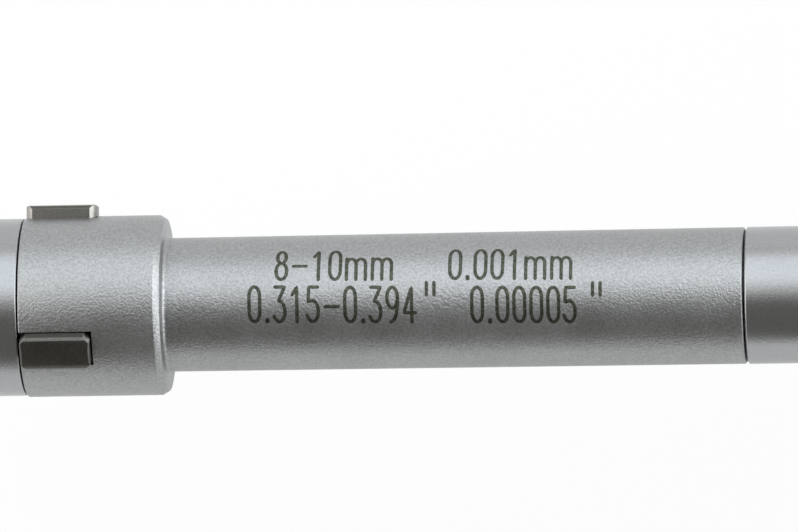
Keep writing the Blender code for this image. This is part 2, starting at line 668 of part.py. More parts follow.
def anvil_mesh(name):
    """An anvil with its radial side along +X, cylindrical tip, bevelled rim and sloped foot."""
    bm = bmesh.new()
    bmesh.ops.create_cube(bm, size=1.0)
    bmesh.ops.scale(bm, vec=(ANVIL_TIP_RADIUS, ANVIL_WIDTH, ANVIL_LENGTH), verts=bm.verts)
    middle = (ANVIL_TIP_RADIUS / 2, 0.0, (ANVIL_START + ANVIL_END) / 2)
    bmesh.ops.translate(bm, vec=middle, verts=bm.verts)
    foot = (cone_radius(ANVIL_START, SLIDE_FIT), 0.0, ANVIL_START)
    slice_off(bm, foot, (-1.0, 0.0, CONE_SLOPE))
    half = ANVIL_WIDTH / 2
    edge_angle = math.asin(half / ANVIL_FACE_RADIUS)
    drop = ANVIL_FACE_RADIUS * (1 - math.cos(edge_angle))
    for share in ANVIL_FACET_SHARES:
        angle = share * edge_angle
        normal = (math.cos(angle), math.sin(angle), 0.0)
        centre = ANVIL_TIP_RADIUS - ANVIL_FACE_RADIUS
        point = (centre + ANVIL_FACE_RADIUS * normal[0], ANVIL_FACE_RADIUS * normal[1], 0.0)
        slice_off(bm, point, normal)
    rim = ANVIL_TIP_RADIUS - drop - ANVIL_EDGE
    for side in (-1, 1):
        slice_off(bm, (rim, side * half, 0.0), (1.0, side, 0.0))
        end = ANVIL_END if side > 0 else ANVIL_START
        slice_off(bm, (ANVIL_TIP_RADIUS - ANVIL_EDGE, 0.0, end), (1.0, 0.0, side))
        for other in (-1, 1):
            slice_off(bm, (0.0, other * (half - ANVIL_CORNER), end), (0.0, other, side))
    return mesh_from(bm, name)


def make_anvils():
    start = -ANVIL_LENGTH
    end = 2 * ANVIL_LENGTH
    for i, turn in enumerate(SLOT_ANGLES):
        name = f"anvil_{i + 1}"
        anvil = add_mesh(name, anvil_mesh(name), DARK_CARBIDE, MEASURING_AXIS)
        anvil.rotation_euler = (0.0, 0.0, turn)
        cut(anvil, add_key(f"keyway_{i + 1}", turn, start, end, SLIDE_FIT))


def round_the_screws(radius):
    """Places on the end cap's screw circle, in the measuring axis's own X and Y."""
    return [(radius * math.cos(angle), radius * math.sin(angle)) for angle in SCREW_ANGLES]


def make_head_body():
    """The head and neck, turned as one piece, with its open slots and stepped bore."""
    fillet = [
        (
            SHOULDER_STATION + NECK_FILLET * (1 - math.cos(angle)),
            NECK_FRONT_RADIUS + NECK_FILLET * (1 - math.sin(angle)),
        )
        for angle in FILLET_ANGLES
    ]
    outside = [
        (0.0, HEAD_RADIUS - EDGE_BREAK),
        (EDGE_BREAK, HEAD_RADIUS),
        (HEAD_LENGTH, HEAD_RADIUS),
        (SHOULDER_STATION, HEAD_RADIUS - SHOULDER_BEVEL_DEPTH),
        *fillet,
        (NECK_END - EDGE_BREAK, NECK_BACK_RADIUS),
        (NECK_END, NECK_BACK_RADIUS - EDGE_BREAK),
    ]
    rod_bore = ROD_RADIUS + ROD_BORE_CLEARANCE
    socket_radius = STEM_TENON_RADIUS + PRESS_FIT
    socket_start = STEM_START - STEM_TENON_LENGTH - 4 * SEAM
    bore = [
        (0.0, CONE_LAND_RADIUS + SLIDE_FIT),
        (CONE_BORE_END, CONE_LAND_RADIUS + SLIDE_FIT),
        (CONE_BORE_END, rod_bore),
        (socket_start, rod_bore),
        (socket_start, socket_radius),
        (NECK_END, socket_radius),
    ]
    body = add_turned("head_body", tube_outline(outside, bore), SATIN_CHROME, closed=True)
    half = ANVIL_WIDTH / 2 + SLIDE_FIT
    slot_end = ANVIL_END + 2 * SEAM
    for i, turn in enumerate(SLOT_ANGLES):
        low = (0.0, -half, -ANVIL_LENGTH)
        high = (2 * HEAD_RADIUS, half, slot_end)
        slot = add_box(f"slot_{i + 1}", low, high, parent=MEASURING_AXIS, turn=turn)
        cut(body, slot)
    depth = CAP_START + CAP_SCREW_LENGTH + 5 * SEAM
    hole = rod_outline(CAP_START, depth, CAP_SCREW_SHANK_RADIUS + PRESS_FIT)
    for i, place in enumerate(round_the_screws(CAP_SCREW_CIRCLE)):
        cut(body, add_turned(f"tapped_hole_{i + 1}", hole, None, SMALL, place=place))


def make_end_cap():
    """The cap that closes the slots, hollowed for the cone's nose."""
    pocket_radius = (
        cone_radius(ROD_TRAVEL_OUT, RAIL_NECK_HEIGHT + RAIL_HEAD_HEIGHT) + CAP_POCKET_CLEARANCE
    )
    outline = [
        (CAP_START, 0.0),
        (CAP_START, CAP_RADIUS - CAP_CHAMFER),
        (CAP_START + CAP_CHAMFER, CAP_RADIUS),
        (-SEAM - EDGE_BREAK, CAP_RADIUS),
        (-SEAM, CAP_RADIUS - EDGE_BREAK),
        (-SEAM, pocket_radius),
        (CAP_POCKET_END, pocket_radius + CONE_SLOPE * (CAP_POCKET_END + SEAM)),
        (CAP_POCKET_END, 0.0),
    ]
    cap = add_turned("end_cap", outline, SMOOTH_CHROME)
    seat = CAP_START + CAP_SCREW_HEAD_HEIGHT
    hole = [
        (2 * CAP_START, 0.0),
        (2 * CAP_START, CAP_SCREW_HEAD_RADIUS + PRESS_FIT),
        (seat, CAP_SCREW_HEAD_RADIUS + PRESS_FIT),
        (seat, CAP_SCREW_SHANK_RADIUS + PRESS_FIT),
        (HEAD_LENGTH, CAP_SCREW_SHANK_RADIUS + PRESS_FIT),
        (HEAD_LENGTH, 0.0),
    ]
    screw_top = CAP_START + SEAM
    screw = [
        (screw_top, 0.0),
        (screw_top, CAP_SCREW_HEAD_RADIUS),
        (seat - PRESS_FIT, CAP_SCREW_HEAD_RADIUS),
        (seat - PRESS_FIT, CAP_SCREW_SHANK_RADIUS),
        (CAP_START + CAP_SCREW_LENGTH, CAP_SCREW_SHANK_RADIUS),
        (CAP_START + CAP_SCREW_LENGTH, 0.0),
    ]
    reach = 2 * CAP_SCREW_HEAD_RADIUS
    for i, place in enumerate(round_the_screws(CAP_SCREW_CIRCLE)):
        cut(cap, add_turned(f"cap_hole_{i + 1}", hole, None, SMALL, place=place))
        piece = add_turned(f"cap_screw_{i + 1}", screw, STEEL, SMALL, place=place)
        low = (-reach, -CAP_SCREW_SLOT / 2, 2 * CAP_START)
        high = (reach, CAP_SCREW_SLOT / 2, screw_top + CAP_SCREW_HEAD_HEIGHT / 2)
        slot = add_box(f"cap_screw_slot_{i + 1}", low, high, parent=MEASURING_AXIS, turn=i * CAP_SCREW_TURN)
        slot.location = (*place, 0.0)
        cut(piece, slot)


def make_push_rod():
    """The rod, its front tenon in the cone, its collar for the spring and its ball seat."""
    tenon = ROD_START - ROD_TENON_LENGTH
    collar_end = COLLAR_START + ROD_COLLAR_LENGTH
    head_start = ROD_END - ROD_HEAD_LENGTH
    pocket = BALL_STATION - BALL_RADIUS - BALL_FIT
    outline = [
        (tenon, 0.0),
        (tenon, ROD_TENON_RADIUS),
        (ROD_START, ROD_TENON_RADIUS),
        (ROD_START, ROD_RADIUS),
        (COLLAR_START, ROD_RADIUS),
        (COLLAR_START, ROD_COLLAR_RADIUS),
        (collar_end, ROD_COLLAR_RADIUS),
        (collar_end, ROD_RADIUS),
        (head_start, ROD_RADIUS),
        (head_start, ROD_HEAD_RADIUS),
        (ROD_END, ROD_HEAD_RADIUS),
        (ROD_END, BALL_RADIUS + BALL_FIT),
        (pocket, BALL_RADIUS + BALL_FIT),
        (pocket, 0.0),
    ]
    add_turned("push_rod", outline, STEEL, PLAIN)


def make_thrust_ball():
    bm = bmesh.new()
    bmesh.ops.create_uvsphere(
        bm, u_segments=BALL_FACETS[0], v_segments=BALL_FACETS[1], radius=BALL_RADIUS
    )
    ball = add_mesh("thrust_ball", mesh_from(bm, "thrust_ball"), STEEL, MEASURING_AXIS)
    ball.location = (0.0, 0.0, BALL_STATION)


def make_rod_guide():
    bush_start = BUSH_END - BUSH_LENGTH
    outside = STEM_BORE_RADIUS - PRESS_FIT
    inside = ROD_RADIUS + SLIDE_FIT
    outline = tube_outline(
        [(bush_start, outside), (BUSH_END, outside)],
        [(bush_start, inside), (BUSH_END, inside)],
    )
    add_turned("rod_guide_bush", outline, BRASS, PLAIN, closed=True)
    add_coil(
        "rod_return_spring", BUSH_END + SEAM, COLLAR_START - SEAM,
        SPRING_TURNS, SPRING_RADIUS, SPRING_WIRE_RADIUS, STEEL,
    )


def make_stem_tube():
    """The smooth tube behind the neck, with its front tenon in the neck's socket."""
    tenon = STEM_START - STEM_TENON_LENGTH
    rod_bore = ROD_RADIUS + ROD_BORE_CLEARANCE
    bore_step = STEM_START + STEM_TENON_LENGTH / 2
    outside = [
        (tenon, STEM_TENON_RADIUS),
        (STEM_START, STEM_TENON_RADIUS),
        (STEM_START, STEM_RADIUS - STEM_CHAMFER),
        (STEM_START + STEM_CHAMFER, STEM_RADIUS),
        (STEM_END, STEM_RADIUS),
    ]
    bore = [
        (tenon, rod_bore),
        (bore_step, rod_bore),
        (bore_step, STEM_BORE_RADIUS),
        (STEM_END, STEM_BORE_RADIUS),
    ]
    add_turned("stem_tube", tube_outline(outside, bore), SMOOTH_CHROME, closed=True)


def make_nose_collar():
    """The cone-shaped collar that carries the stem on the barrel."""
    cone_end = NOSE_START + NOSE_CONE_LENGTH
    outside = [
        (NOSE_START, NOSE_FRONT_RADIUS - NOSE_CHAMFER),
        (NOSE_START + NOSE_CHAMFER, NOSE_FRONT_RADIUS),
        (cone_end, NOSE_BACK_RADIUS),
        (NOSE_END - NOSE_CHAMFER, NOSE_BACK_RADIUS),
        (NOSE_END, NOSE_BACK_RADIUS - NOSE_CHAMFER),
    ]
    bore = [
        (NOSE_START, STEM_RADIUS + PRESS_FIT),
        (NOSE_STEP, STEM_RADIUS + PRESS_FIT),
        (NOSE_STEP, TUBE_RADIUS + PRESS_FIT),
        (NOSE_END, TUBE_RADIUS + PRESS_FIT),
    ]
    add_turned("nose_collar", tube_outline(outside, bore), SATIN_CHROME, closed=True)


def make_barrel():
    """The fixed tube from the nose into the housing, with the tenon that carries the stator."""
    flange_start = HOUSING_FRONT_STATION + HOUSING_WALL + 2 * SEAM
    flange_end = flange_start + FLANGE_LENGTH
    bore_radius = SPINDLE_FRONT_RADIUS + SPINDLE_BORE_CLEARANCE
    outside = [
        (BARREL_START, TUBE_RADIUS),
        (flange_start, TUBE_RADIUS),
        (flange_start, FLANGE_RADIUS),
        (flange_end, FLANGE_RADIUS),
        (flange_end, TUBE_RADIUS),
        (BARREL_SHOULDER, TUBE_RADIUS),
        (BARREL_SHOULDER, BARREL_TENON_RADIUS),
        (BARREL_END, BARREL_TENON_RADIUS),
    ]
    bore = [(BARREL_START, bore_radius), (BARREL_END, bore_radius)]
    add_turned("barrel", tube_outline(outside, bore), STEEL, PLAIN, closed=True)


def make_encoder():
    """The fixed and the turning disc, and the bearing that the rotor's hub turns in."""
    stator_bore = BARREL_TENON_RADIUS + PRESS_FIT
    stator = tube_outline(
        [(STATOR_START, DISC_RADIUS), (STATOR_END, DISC_RADIUS)],
        [(STATOR_START, stator_bore), (STATOR_END, stator_bore)],
    )
    add_turned("stator_disc", stator, BOARD_GREEN, PLAIN, closed=True)
    rotor_bore = SPINDLE_MIDDLE_RADIUS + TURN_FIT
    rotor = tube_outline(
        [
            (ROTOR_START, DISC_RADIUS),
            (ROTOR_BACK, DISC_RADIUS),
            (ROTOR_BACK, ROTOR_HUB_RADIUS),
            (HUB_END, ROTOR_HUB_RADIUS),
        ],
        [(ROTOR_START, rotor_bore), (HUB_END, rotor_bore)],
    )
    add_turned("rotor_disc", rotor, BRASS, PLAIN, closed=True)
    bearing_bore = ROTOR_HUB_RADIUS + TURN_FIT
    bearing = tube_outline(
        [(BEARING_START, TUBE_RADIUS), (BEARING_END, TUBE_RADIUS)],
        [(BEARING_START, bearing_bore), (BEARING_END, bearing_bore)],
    )
    add_turned("rotor_bearing", bearing, BRASS, PLAIN, closed=True)


def make_spindle():
    """The turning spindle: ball seat, plain shank, fine thread, taper for the thimble, and stud."""
    pocket = BALL_STATION + BALL_RADIUS + BALL_FIT
    hole = RATCHET_SCREW_RADIUS + PRESS_FIT
    outline = [
        (pocket, 0.0),
        (pocket, BALL_RADIUS + BALL_FIT),
        (SPINDLE_START, BALL_RADIUS + BALL_FIT),
        (SPINDLE_START, SPINDLE_FRONT_RADIUS),
        (SPINDLE_STEP, SPINDLE_FRONT_RADIUS),
        (SPINDLE_STEP, SPINDLE_MIDDLE_RADIUS),
        (THREAD_START, SPINDLE_MIDDLE_RADIUS),
        (THREAD_START, THREAD_RADIUS),
        (THREAD_END, THREAD_RADIUS),
        (TAPER_START, TAPER_LARGE_RADIUS),
        (TAPER_END, TAPER_SMALL_RADIUS),
        (TAPER_END, STUD_RADIUS),
        (STUD_END, STUD_RADIUS),
        (STUD_END, hole),
        (STUD_END - TAPPED_DEPTH, hole),
        (STUD_END - TAPPED_DEPTH, 0.0),
    ]
    add_turned("spindle", outline, STEEL, PLAIN)


def make_sleeve():
    """The sleeve that the thimble runs over, clamped in the housing's back wall by its flange."""
    flange_end = HOUSING_BACK_STATION - HOUSING_WALL - 2 * SEAM
    flange_start = flange_end - FLANGE_LENGTH
    outside = [
        (SLEEVE_START, TUBE_RADIUS),
        (flange_start, TUBE_RADIUS),
        (flange_start, FLANGE_RADIUS),
        (flange_end, FLANGE_RADIUS),
        (flange_end, TUBE_RADIUS),
        (SLEEVE_SHOULDER, TUBE_RADIUS),
        (SLEEVE_SHOULDER, SLEEVE_RADIUS),
        (SLEEVE_END - SLEEVE_CHAMFER, SLEEVE_RADIUS),
        (SLEEVE_END, SLEEVE_RADIUS - SLEEVE_CHAMFER),
    ]
    bore = [(SLEEVE_START, SLEEVE_BORE_RADIUS), (SLEEVE_END, SLEEVE_BORE_RADIUS)]
    add_turned("sleeve", tube_outline(outside, bore), SMOOTH_CHROME, closed=True, facets=PLAIN)


def make_spindle_nut():
    """The slit nut in the sleeve, and the ring that closes it on the thread."""
    outside = SLEEVE_BORE_RADIUS - PRESS_FIT
    inside = THREAD_RADIUS + TURN_FIT
    outline = tube_outline(
        [(NUT_START, outside), (NUT_END, outside)],
        [(NUT_START, inside), (NUT_END, inside)],
    )
    nut = add_turned("spindle_nut", outline, BRASS, PLAIN, closed=True)
    reach = 2 * SLEEVE_BORE_RADIUS
    for i in range(NUT_SLITS):
        low = (0.0, -NUT_SLIT_WIDTH / 2, NUT_END - NUT_SLIT_LENGTH)
        high = (reach, NUT_SLIT_WIDTH / 2, NUT_END + NUT_SLIT_LENGTH)
        slit = add_box(f"nut_slit_{i + 1}", low, high, parent=MEASURING_AXIS, turn=math.tau * i / NUT_SLITS)
        cut(nut, slit)
    adjuster_start = SLEEVE_END + 4 * SEAM
    adjuster_end = adjuster_start + ADJUSTER_LENGTH
    ring = tube_outline(
        [(adjuster_start, ADJUSTER_RADIUS), (adjuster_end, ADJUSTER_RADIUS)],
        [(adjuster_start, SLEEVE_BORE_RADIUS), (adjuster_end, SLEEVE_BORE_RADIUS)],
    )
    adjuster = add_turned("adjusting_nut", ring, STEEL, PLAIN, closed=True)
    low = (-reach, -ADJUSTER_SLOT_WIDTH / 2, adjuster_end - ADJUSTER_SLOT_DEPTH)
    high = (reach, ADJUSTER_SLOT_WIDTH / 2, adjuster_end + ADJUSTER_SLOT_DEPTH)
    cut(adjuster, add_box("adjuster_slots", low, high, parent=MEASURING_AXIS))


def make_thimble():
    """The thimble, seated by its back wall on the spindle's taper."""
    wall_start = TAPER_START + 5 * SEAM
    taper_fall = (TAPER_LARGE_RADIUS - TAPER_SMALL_RADIUS) / TAPER_LENGTH
    seat_front = TAPER_LARGE_RADIUS + PRESS_FIT - taper_fall * (wall_start - TAPER_START)
    seat_back = TAPER_LARGE_RADIUS + PRESS_FIT - taper_fall * (THIMBLE_END - TAPER_START)
    outside = [
        (THIMBLE_START, THIMBLE_RADIUS - THIMBLE_BEVEL_DEPTH),
        (THIMBLE_START + THIMBLE_BEVEL_LENGTH, THIMBLE_RADIUS),
        (THIMBLE_END - THIMBLE_BACK_CHAMFER, THIMBLE_RADIUS),
        (THIMBLE_END, THIMBLE_RADIUS - THIMBLE_BACK_CHAMFER),
    ]
    bore = [
        (THIMBLE_START, THIMBLE_BORE_RADIUS),
        (wall_start, THIMBLE_BORE_RADIUS),
        (wall_start, seat_front),
        (THIMBLE_END, seat_back),
    ]
    add_turned("thimble", tube_outline(outside, bore), SATIN_CHROME, closed=True)


def make_ratchet():
    """The ratchet: body on the spindle's stud, turning knob, spring and shoulder screw."""
    body = tube_outline(
        [(RATCHET_START, RATCHET_BODY_RADIUS), (RATCHET_BODY_END, RATCHET_BODY_RADIUS)],
        [(RATCHET_START, STUD_RADIUS + PRESS_FIT), (RATCHET_BODY_END, STUD_RADIUS + PRESS_FIT)],
    )
    add_turned("ratchet_body", body, STEEL, PLAIN, closed=True)
    bore = RATCHET_SHOULDER_RADIUS + 2 * TURN_FIT
    knob = tube_outline(
        [
            (KNOB_START, KNOB_RADIUS),
            (KNOB_END - KNOB_CHAMFER, KNOB_RADIUS),
            (KNOB_END, KNOB_RADIUS - KNOB_CHAMFER),
        ],
        [
            (KNOB_START, bore),
            (SPRING_SEAT, bore),
            (SPRING_SEAT, KNOB_CAVITY_RADIUS),
            (KNOB_END, KNOB_CAVITY_RADIUS),
        ],
    )
    add_turned("ratchet_knob", knob, SATIN_CHROME, closed=True)
    add_coil(
        "ratchet_spring", SPRING_SEAT + SEAM, SCREW_HEAD_START - SEAM,
        RATCHET_SPRING_TURNS, RATCHET_SPRING_RADIUS, RATCHET_SPRING_WIRE_RADIUS, STEEL,
    )
    tip = STUD_END - TAPPED_DEPTH + 5 * SEAM
    shoulder = STUD_END + SEAM
    outline = [
        (tip, 0.0),
        (tip, RATCHET_SCREW_RADIUS),
        (shoulder, RATCHET_SCREW_RADIUS),
        (shoulder, RATCHET_SHOULDER_RADIUS),
        (SCREW_HEAD_START, RATCHET_SHOULDER_RADIUS),
        (SCREW_HEAD_START, RATCHET_SCREW_HEAD_RADIUS),
        (SCREW_HEAD_END, RATCHET_SCREW_HEAD_RADIUS),
        (SCREW_HEAD_END, 0.0),
    ]
    screw = add_turned("ratchet_screw", outline, STEEL, PLAIN)
    reach = 2 * RATCHET_SCREW_HEAD_RADIUS
    slot_half = RATCHET_SCREW_SLOT / 2
    low = (-reach, -slot_half, SCREW_HEAD_END - RATCHET_SCREW_HEAD_LENGTH / 2)
    high = (reach, slot_half, SCREW_HEAD_END + RATCHET_SCREW_HEAD_LENGTH)
    cut(screw, add_box("ratchet_screw_slot", low, high, parent=MEASURING_AXIS))


def four_corners(x, y):
    return [(side_x * x, side_y * y) for side_x in (-1, 1) for side_y in (-1, 1)]


def add_shell(name, low_z, high_z, open_end, finish, top_round=0.0, base_round=0.0):
    """Half of the housing: a rounded box hollowed to the wall's thickness from its open end."""
    shell = add_rounded_box(
        name,
        (-HALF_LENGTH, -HALF_WIDTH, low_z),
        (HALF_LENGTH, HALF_WIDTH, high_z),
        HOUSING_CORNER,
        finish,
        top_round,
        base_round,
    )
    floor_low = low_z - HOUSING_HEIGHT if open_end == "below" else low_z + HOUSING_WALL
    floor_high = high_z - HOUSING_WALL if open_end == "below" else high_z + HOUSING_HEIGHT
    room = add_rounded_box(
        f"{name}_room",
        (-HALF_LENGTH + HOUSING_WALL, -HALF_WIDTH + HOUSING_WALL, floor_low),
        (HALF_LENGTH - HOUSING_WALL, HALF_WIDTH - HOUSING_WALL, floor_high),
        HOUSING_CORNER - HOUSING_WALL,
    )
    cut(shell, room)
    return shell


def add_bearing_rib(name, low_z, high_z):
    """The rib across the housing that holds the rotor's bearing."""
    middle = (BEARING_START + BEARING_END) / 2 - SEAM_TO_ORIGIN
    reach = HALF_WIDTH - HOUSING_WALL / 2
    low = (middle - BEARING_RIB / 2, -reach, low_z)
    high = (middle + BEARING_RIB / 2, reach, high_z)
    return add_box(name, low, high)


def add_tube_bore(name):
    """The bore through both end walls and the rib, in which the tubes are clamped."""
    outline = rod_outline(
        HOUSING_FRONT_STATION - HOUSING_WALL,
        HOUSING_BACK_STATION + HOUSING_WALL,
        TUBE_RADIUS + PRESS_FIT,
    )
    return add_turned(name, outline, None, PLAIN)


def make_housing_back():
    """The tub that the instrument rests on, with the battery well under the sleeve."""
    split = AXIS_HEIGHT - SEAM / 2
    back = add_shell("housing_back", 0.0, split, "above", GREY_PLASTIC, base_round=HOUSING_BACK_ROUND)
    boss = rod_outline(HOUSING_WALL / 2, BOSS_TOP, WELL_RADIUS + BATTERY_WELL_WALL)
    join(back, add_upright("battery_boss", boss, None, BATTERY_PLACE))
    inner_top = split - SEAM
    post = rod_outline(HOUSING_WALL / 2, inner_top, POST_RADIUS)
    for i, place in enumerate(four_corners(POST_X, POST_Y)):
        join(back, add_upright(f"back_post_{i + 1}", post, None, place, SMALL))
    join(back, add_bearing_rib("back_rib", HOUSING_WALL / 2, inner_top))
    cap_room = BATTERY_CAP_RECESS + BATTERY_CAP_THICKNESS + SEAM
    well = [
        (-HOUSING_WALL, 0.0),
        (-HOUSING_WALL, WELL_RADIUS),
        (cap_room, WELL_RADIUS),
        (cap_room, BATTERY_RADIUS + BATTERY_CLEARANCE),
        (WELL_CEILING, BATTERY_RADIUS + BATTERY_CLEARANCE),
        (WELL_CEILING, 0.0),
    ]
    cut(back, add_upright("battery_well", well, None, BATTERY_PLACE), add_tube_bore("back_bore"))
    seat = HOUSING_SCREW_RECESS + HOUSING_SCREW_HEAD_HEIGHT
    hole = [
        (-HOUSING_WALL, 0.0),
        (-HOUSING_WALL, HOUSING_SCREW_HEAD_RADIUS + TURN_FIT),
        (seat, HOUSING_SCREW_HEAD_RADIUS + TURN_FIT),
        (seat, HOUSING_SCREW_RADIUS + TURN_FIT),
        (split + HOUSING_WALL, HOUSING_SCREW_RADIUS + TURN_FIT),
        (split + HOUSING_WALL, 0.0),
    ]
    half_facet = math.pi / SMALL
    for i, place in enumerate(four_corners(POST_X, POST_Y)):
        cut(back, add_upright(f"back_hole_{i + 1}", hole, None, place, SMALL, turn=half_facet))


def make_housing_front():
    """The cover with the display's aperture, the button holes and the board's standoffs."""
    split = AXIS_HEIGHT + SEAM / 2
    front = add_shell(
        "housing_front", split, HOUSING_HEIGHT, "below", GREY_PLASTIC, top_round=HOUSING_TOP_ROUND
    )
    plate_middle = HOUSING_HEIGHT - HOUSING_WALL / 2
    inner_base = split + SEAM
    post = blind_post_outline(
        inner_base,
        plate_middle,
        POST_RADIUS,
        HOUSING_SCREW_RADIUS + PRESS_FIT,
        HOUSING_SCREW_RECESS + HOUSING_SCREW_LENGTH + 5 * SEAM,
    )
    for i, place in enumerate(four_corners(POST_X, POST_Y)):
        join(front, add_upright(f"front_post_{i + 1}", post, None, place, SMALL))
    standoff = blind_post_outline(
        BOARD_TOP + SEAM,
        plate_middle,
        STANDOFF_RADIUS,
        BOARD_SCREW_RADIUS + PRESS_FIT,
        BOARD_BASE + BOARD_SCREW_LENGTH + 2 * SEAM,
    )
    for i, place in enumerate(four_corners(STANDOFF_X, STANDOFF_Y)):
        join(front, add_upright(f"standoff_{i + 1}", standoff, None, place, SMALL))
    rib_top = AXIS_HEIGHT + DISC_RADIUS - 5 * SEAM
    join(front, add_bearing_rib("front_rib", inner_base, rib_top))
    cut(front, add_tube_bore("front_bore"))
    cut(front, *add_window_cutters())
    for i, x in enumerate(button_places()):
        room = add_rounded_box(
            f"button_hole_{i + 1}",
            (
                x - BUTTON_LENGTH / 2 - BUTTON_CLEARANCE,
                BUTTON_OFFSET_Y - BUTTON_WIDTH / 2 - BUTTON_CLEARANCE,
                plate_middle - HOUSING_WALL,
            ),
            (
                x + BUTTON_LENGTH / 2 + BUTTON_CLEARANCE,
                BUTTON_OFFSET_Y + BUTTON_WIDTH / 2 + BUTTON_CLEARANCE,
                HOUSING_HEIGHT + HOUSING_WALL,
            ),
            BUTTON_CORNER,
        )
        cut(front, room)


def window_corners(margin, low_z, high_z):
    """The low and high corners of a box over the display, with a margin round the window."""
    low = (-WINDOW_LENGTH / 2 - margin, WINDOW_OFFSET_Y - WINDOW_WIDTH / 2 - margin, low_z)
    high = (WINDOW_LENGTH / 2 + margin, WINDOW_OFFSET_Y + WINDOW_WIDTH / 2 + margin, high_z)
    return low, high


def add_window_cutters():
    """The recess that the window lies in, and the aperture inside its ledge."""
    floor = HOUSING_HEIGHT - WINDOW_THICKNESS - SEAM
    above = HOUSING_HEIGHT + HOUSING_WALL
    below = PLATE_UNDERSIDE - HOUSING_WALL
    recess = add_rounded_box(
        "window_recess", *window_corners(SEAM, floor, above), WINDOW_CORNER + SEAM
    )
    aperture = add_rounded_box(
        "window_aperture", *window_corners(-WINDOW_LEDGE, below, above), WINDOW_CORNER / 2
    )
    return recess, aperture


def make_display():
    top = HOUSING_HEIGHT - SEAM
    base = HOUSING_HEIGHT - WINDOW_THICKNESS
    add_rounded_box("lcd_window", *window_corners(0.0, base, top), WINDOW_CORNER, WINDOW_CLEAR)
    low = (-PANEL_LENGTH / 2, WINDOW_OFFSET_Y - PANEL_WIDTH / 2, PANEL_BASE)
    high = (PANEL_LENGTH / 2, WINDOW_OFFSET_Y + PANEL_WIDTH / 2, PANEL_BASE + PANEL_THICKNESS)
    add_box("lcd_panel", low, high, PANEL_GREY)


def button_places():
    first = -BUTTON_PITCH * (BUTTON_COUNT - 1) / 2
    return [first + BUTTON_PITCH * i for i in range(BUTTON_COUNT)]


def make_circuit_board():
    """The board under the plate, with a switch below each button."""
    low = (-BOARD_LENGTH / 2, -BOARD_WIDTH / 2, BOARD_BASE)
    high = (BOARD_LENGTH / 2, BOARD_WIDTH / 2, BOARD_TOP)
    board = add_box("circuit_board", low, high, BOARD_GREEN)
    half = SWITCH_SIDE / 2
    for i, x in enumerate(button_places()):
        low = (x - half, BUTTON_OFFSET_Y - half, BOARD_TOP - BOARD_THICKNESS / 2)
        high = (x + half, BUTTON_OFFSET_Y + half, BOARD_TOP + SWITCH_HEIGHT)
        join(board, add_box(f"switch_{i + 1}", low, high))
    hole = rod_outline(
        BOARD_BASE - BOARD_THICKNESS, BOARD_TOP + BOARD_THICKNESS, BOARD_SCREW_RADIUS + TURN_FIT
    )
    head_base = BOARD_BASE - SEAM - BOARD_SCREW_HEAD_HEIGHT
    screw = [
        (head_base, 0.0),
        (head_base, BOARD_SCREW_HEAD_RADIUS),
        (BOARD_BASE - SEAM, BOARD_SCREW_HEAD_RADIUS),
        (BOARD_BASE - SEAM, BOARD_SCREW_RADIUS),
        (BOARD_BASE + BOARD_SCREW_LENGTH, BOARD_SCREW_RADIUS),
        (BOARD_BASE + BOARD_SCREW_LENGTH, 0.0),
    ]
    for i, place in enumerate(four_corners(STANDOFF_X, STANDOFF_Y)):
        cut(board, add_upright(f"board_hole_{i + 1}", hole, None, place, SMALL))
        add_upright(f"board_screw_{i + 1}", screw, STEEL, place, SMALL)


def make_buttons():
    """Each button's cap stands in its hole, and its flange keeps it under the plate."""
    flange_top = PLATE_UNDERSIDE - SEAM
    flange_base = flange_top - BUTTON_FLANGE_THICKNESS
    foot = BOARD_TOP + SWITCH_HEIGHT + BUTTON_TRAVEL + 2 * SEAM
    half_length, half_width = BUTTON_LENGTH / 2, BUTTON_WIDTH / 2
    stem_half = SWITCH_SIDE / 2
    for i, x in enumerate(button_places()):
        name = f"button_{i + 1}"
        button = add_rounded_box(
            name,
            (x - half_length, BUTTON_OFFSET_Y - half_width, flange_base),
            (x + half_length, BUTTON_OFFSET_Y + half_width, HOUSING_HEIGHT + BUTTON_RISE),
            BUTTON_CORNER,
            BUTTON_RUBBER,
            top_round=BUTTON_RISE / 2,
        )
        reach_x, reach_y = half_length + BUTTON_FLANGE, half_width + BUTTON_FLANGE
        flange = add_box(
            f"{name}_flange",
            (x - reach_x, BUTTON_OFFSET_Y - reach_y, flange_base - SEAM),
            (x + reach_x, BUTTON_OFFSET_Y + reach_y, flange_top),
        )
        stem = add_box(
            f"{name}_stem",
            (x - stem_half, BUTTON_OFFSET_Y - stem_half, foot),
            (x + stem_half, BUTTON_OFFSET_Y + stem_half, flange_top),
        )
        join(button, flange, stem)


def make_battery():
    cap_top = BATTERY_CAP_RECESS + BATTERY_CAP_THICKNESS
    outline = rod_outline(BATTERY_CAP_RECESS, cap_top, BATTERY_CAP_RADIUS)
    cap = add_upright("battery_cap", outline, DARK_PLASTIC, BATTERY_PLACE)
    low = (-COIN_SLOT_LENGTH / 2, -COIN_SLOT_WIDTH / 2, -COIN_SLOT_DEPTH)
    high = (COIN_SLOT_LENGTH / 2, COIN_SLOT_WIDTH / 2, BATTERY_CAP_RECESS + COIN_SLOT_DEPTH)
    slot = add_box("coin_slot", low, high)
    slot.location = (*BATTERY_PLACE, 0.0)
    cut(cap, slot)
    cell_top = BATTERY_BASE + BATTERY_THICKNESS
    cell = rod_outline(BATTERY_BASE, cell_top, BATTERY_RADIUS, 5 * SEAM)
    add_upright("battery", cell, STEEL, BATTERY_PLACE)
    x = BATTERY_PLACE[0]
    low = (x - CONTACT_LENGTH / 2, -CONTACT_WIDTH / 2, CONTACT_BASE)
    high = (x + CONTACT_LENGTH / 2, CONTACT_WIDTH / 2, CONTACT_BASE + CONTACT_THICKNESS)
    add_box("battery_contact", low, high, BRASS)


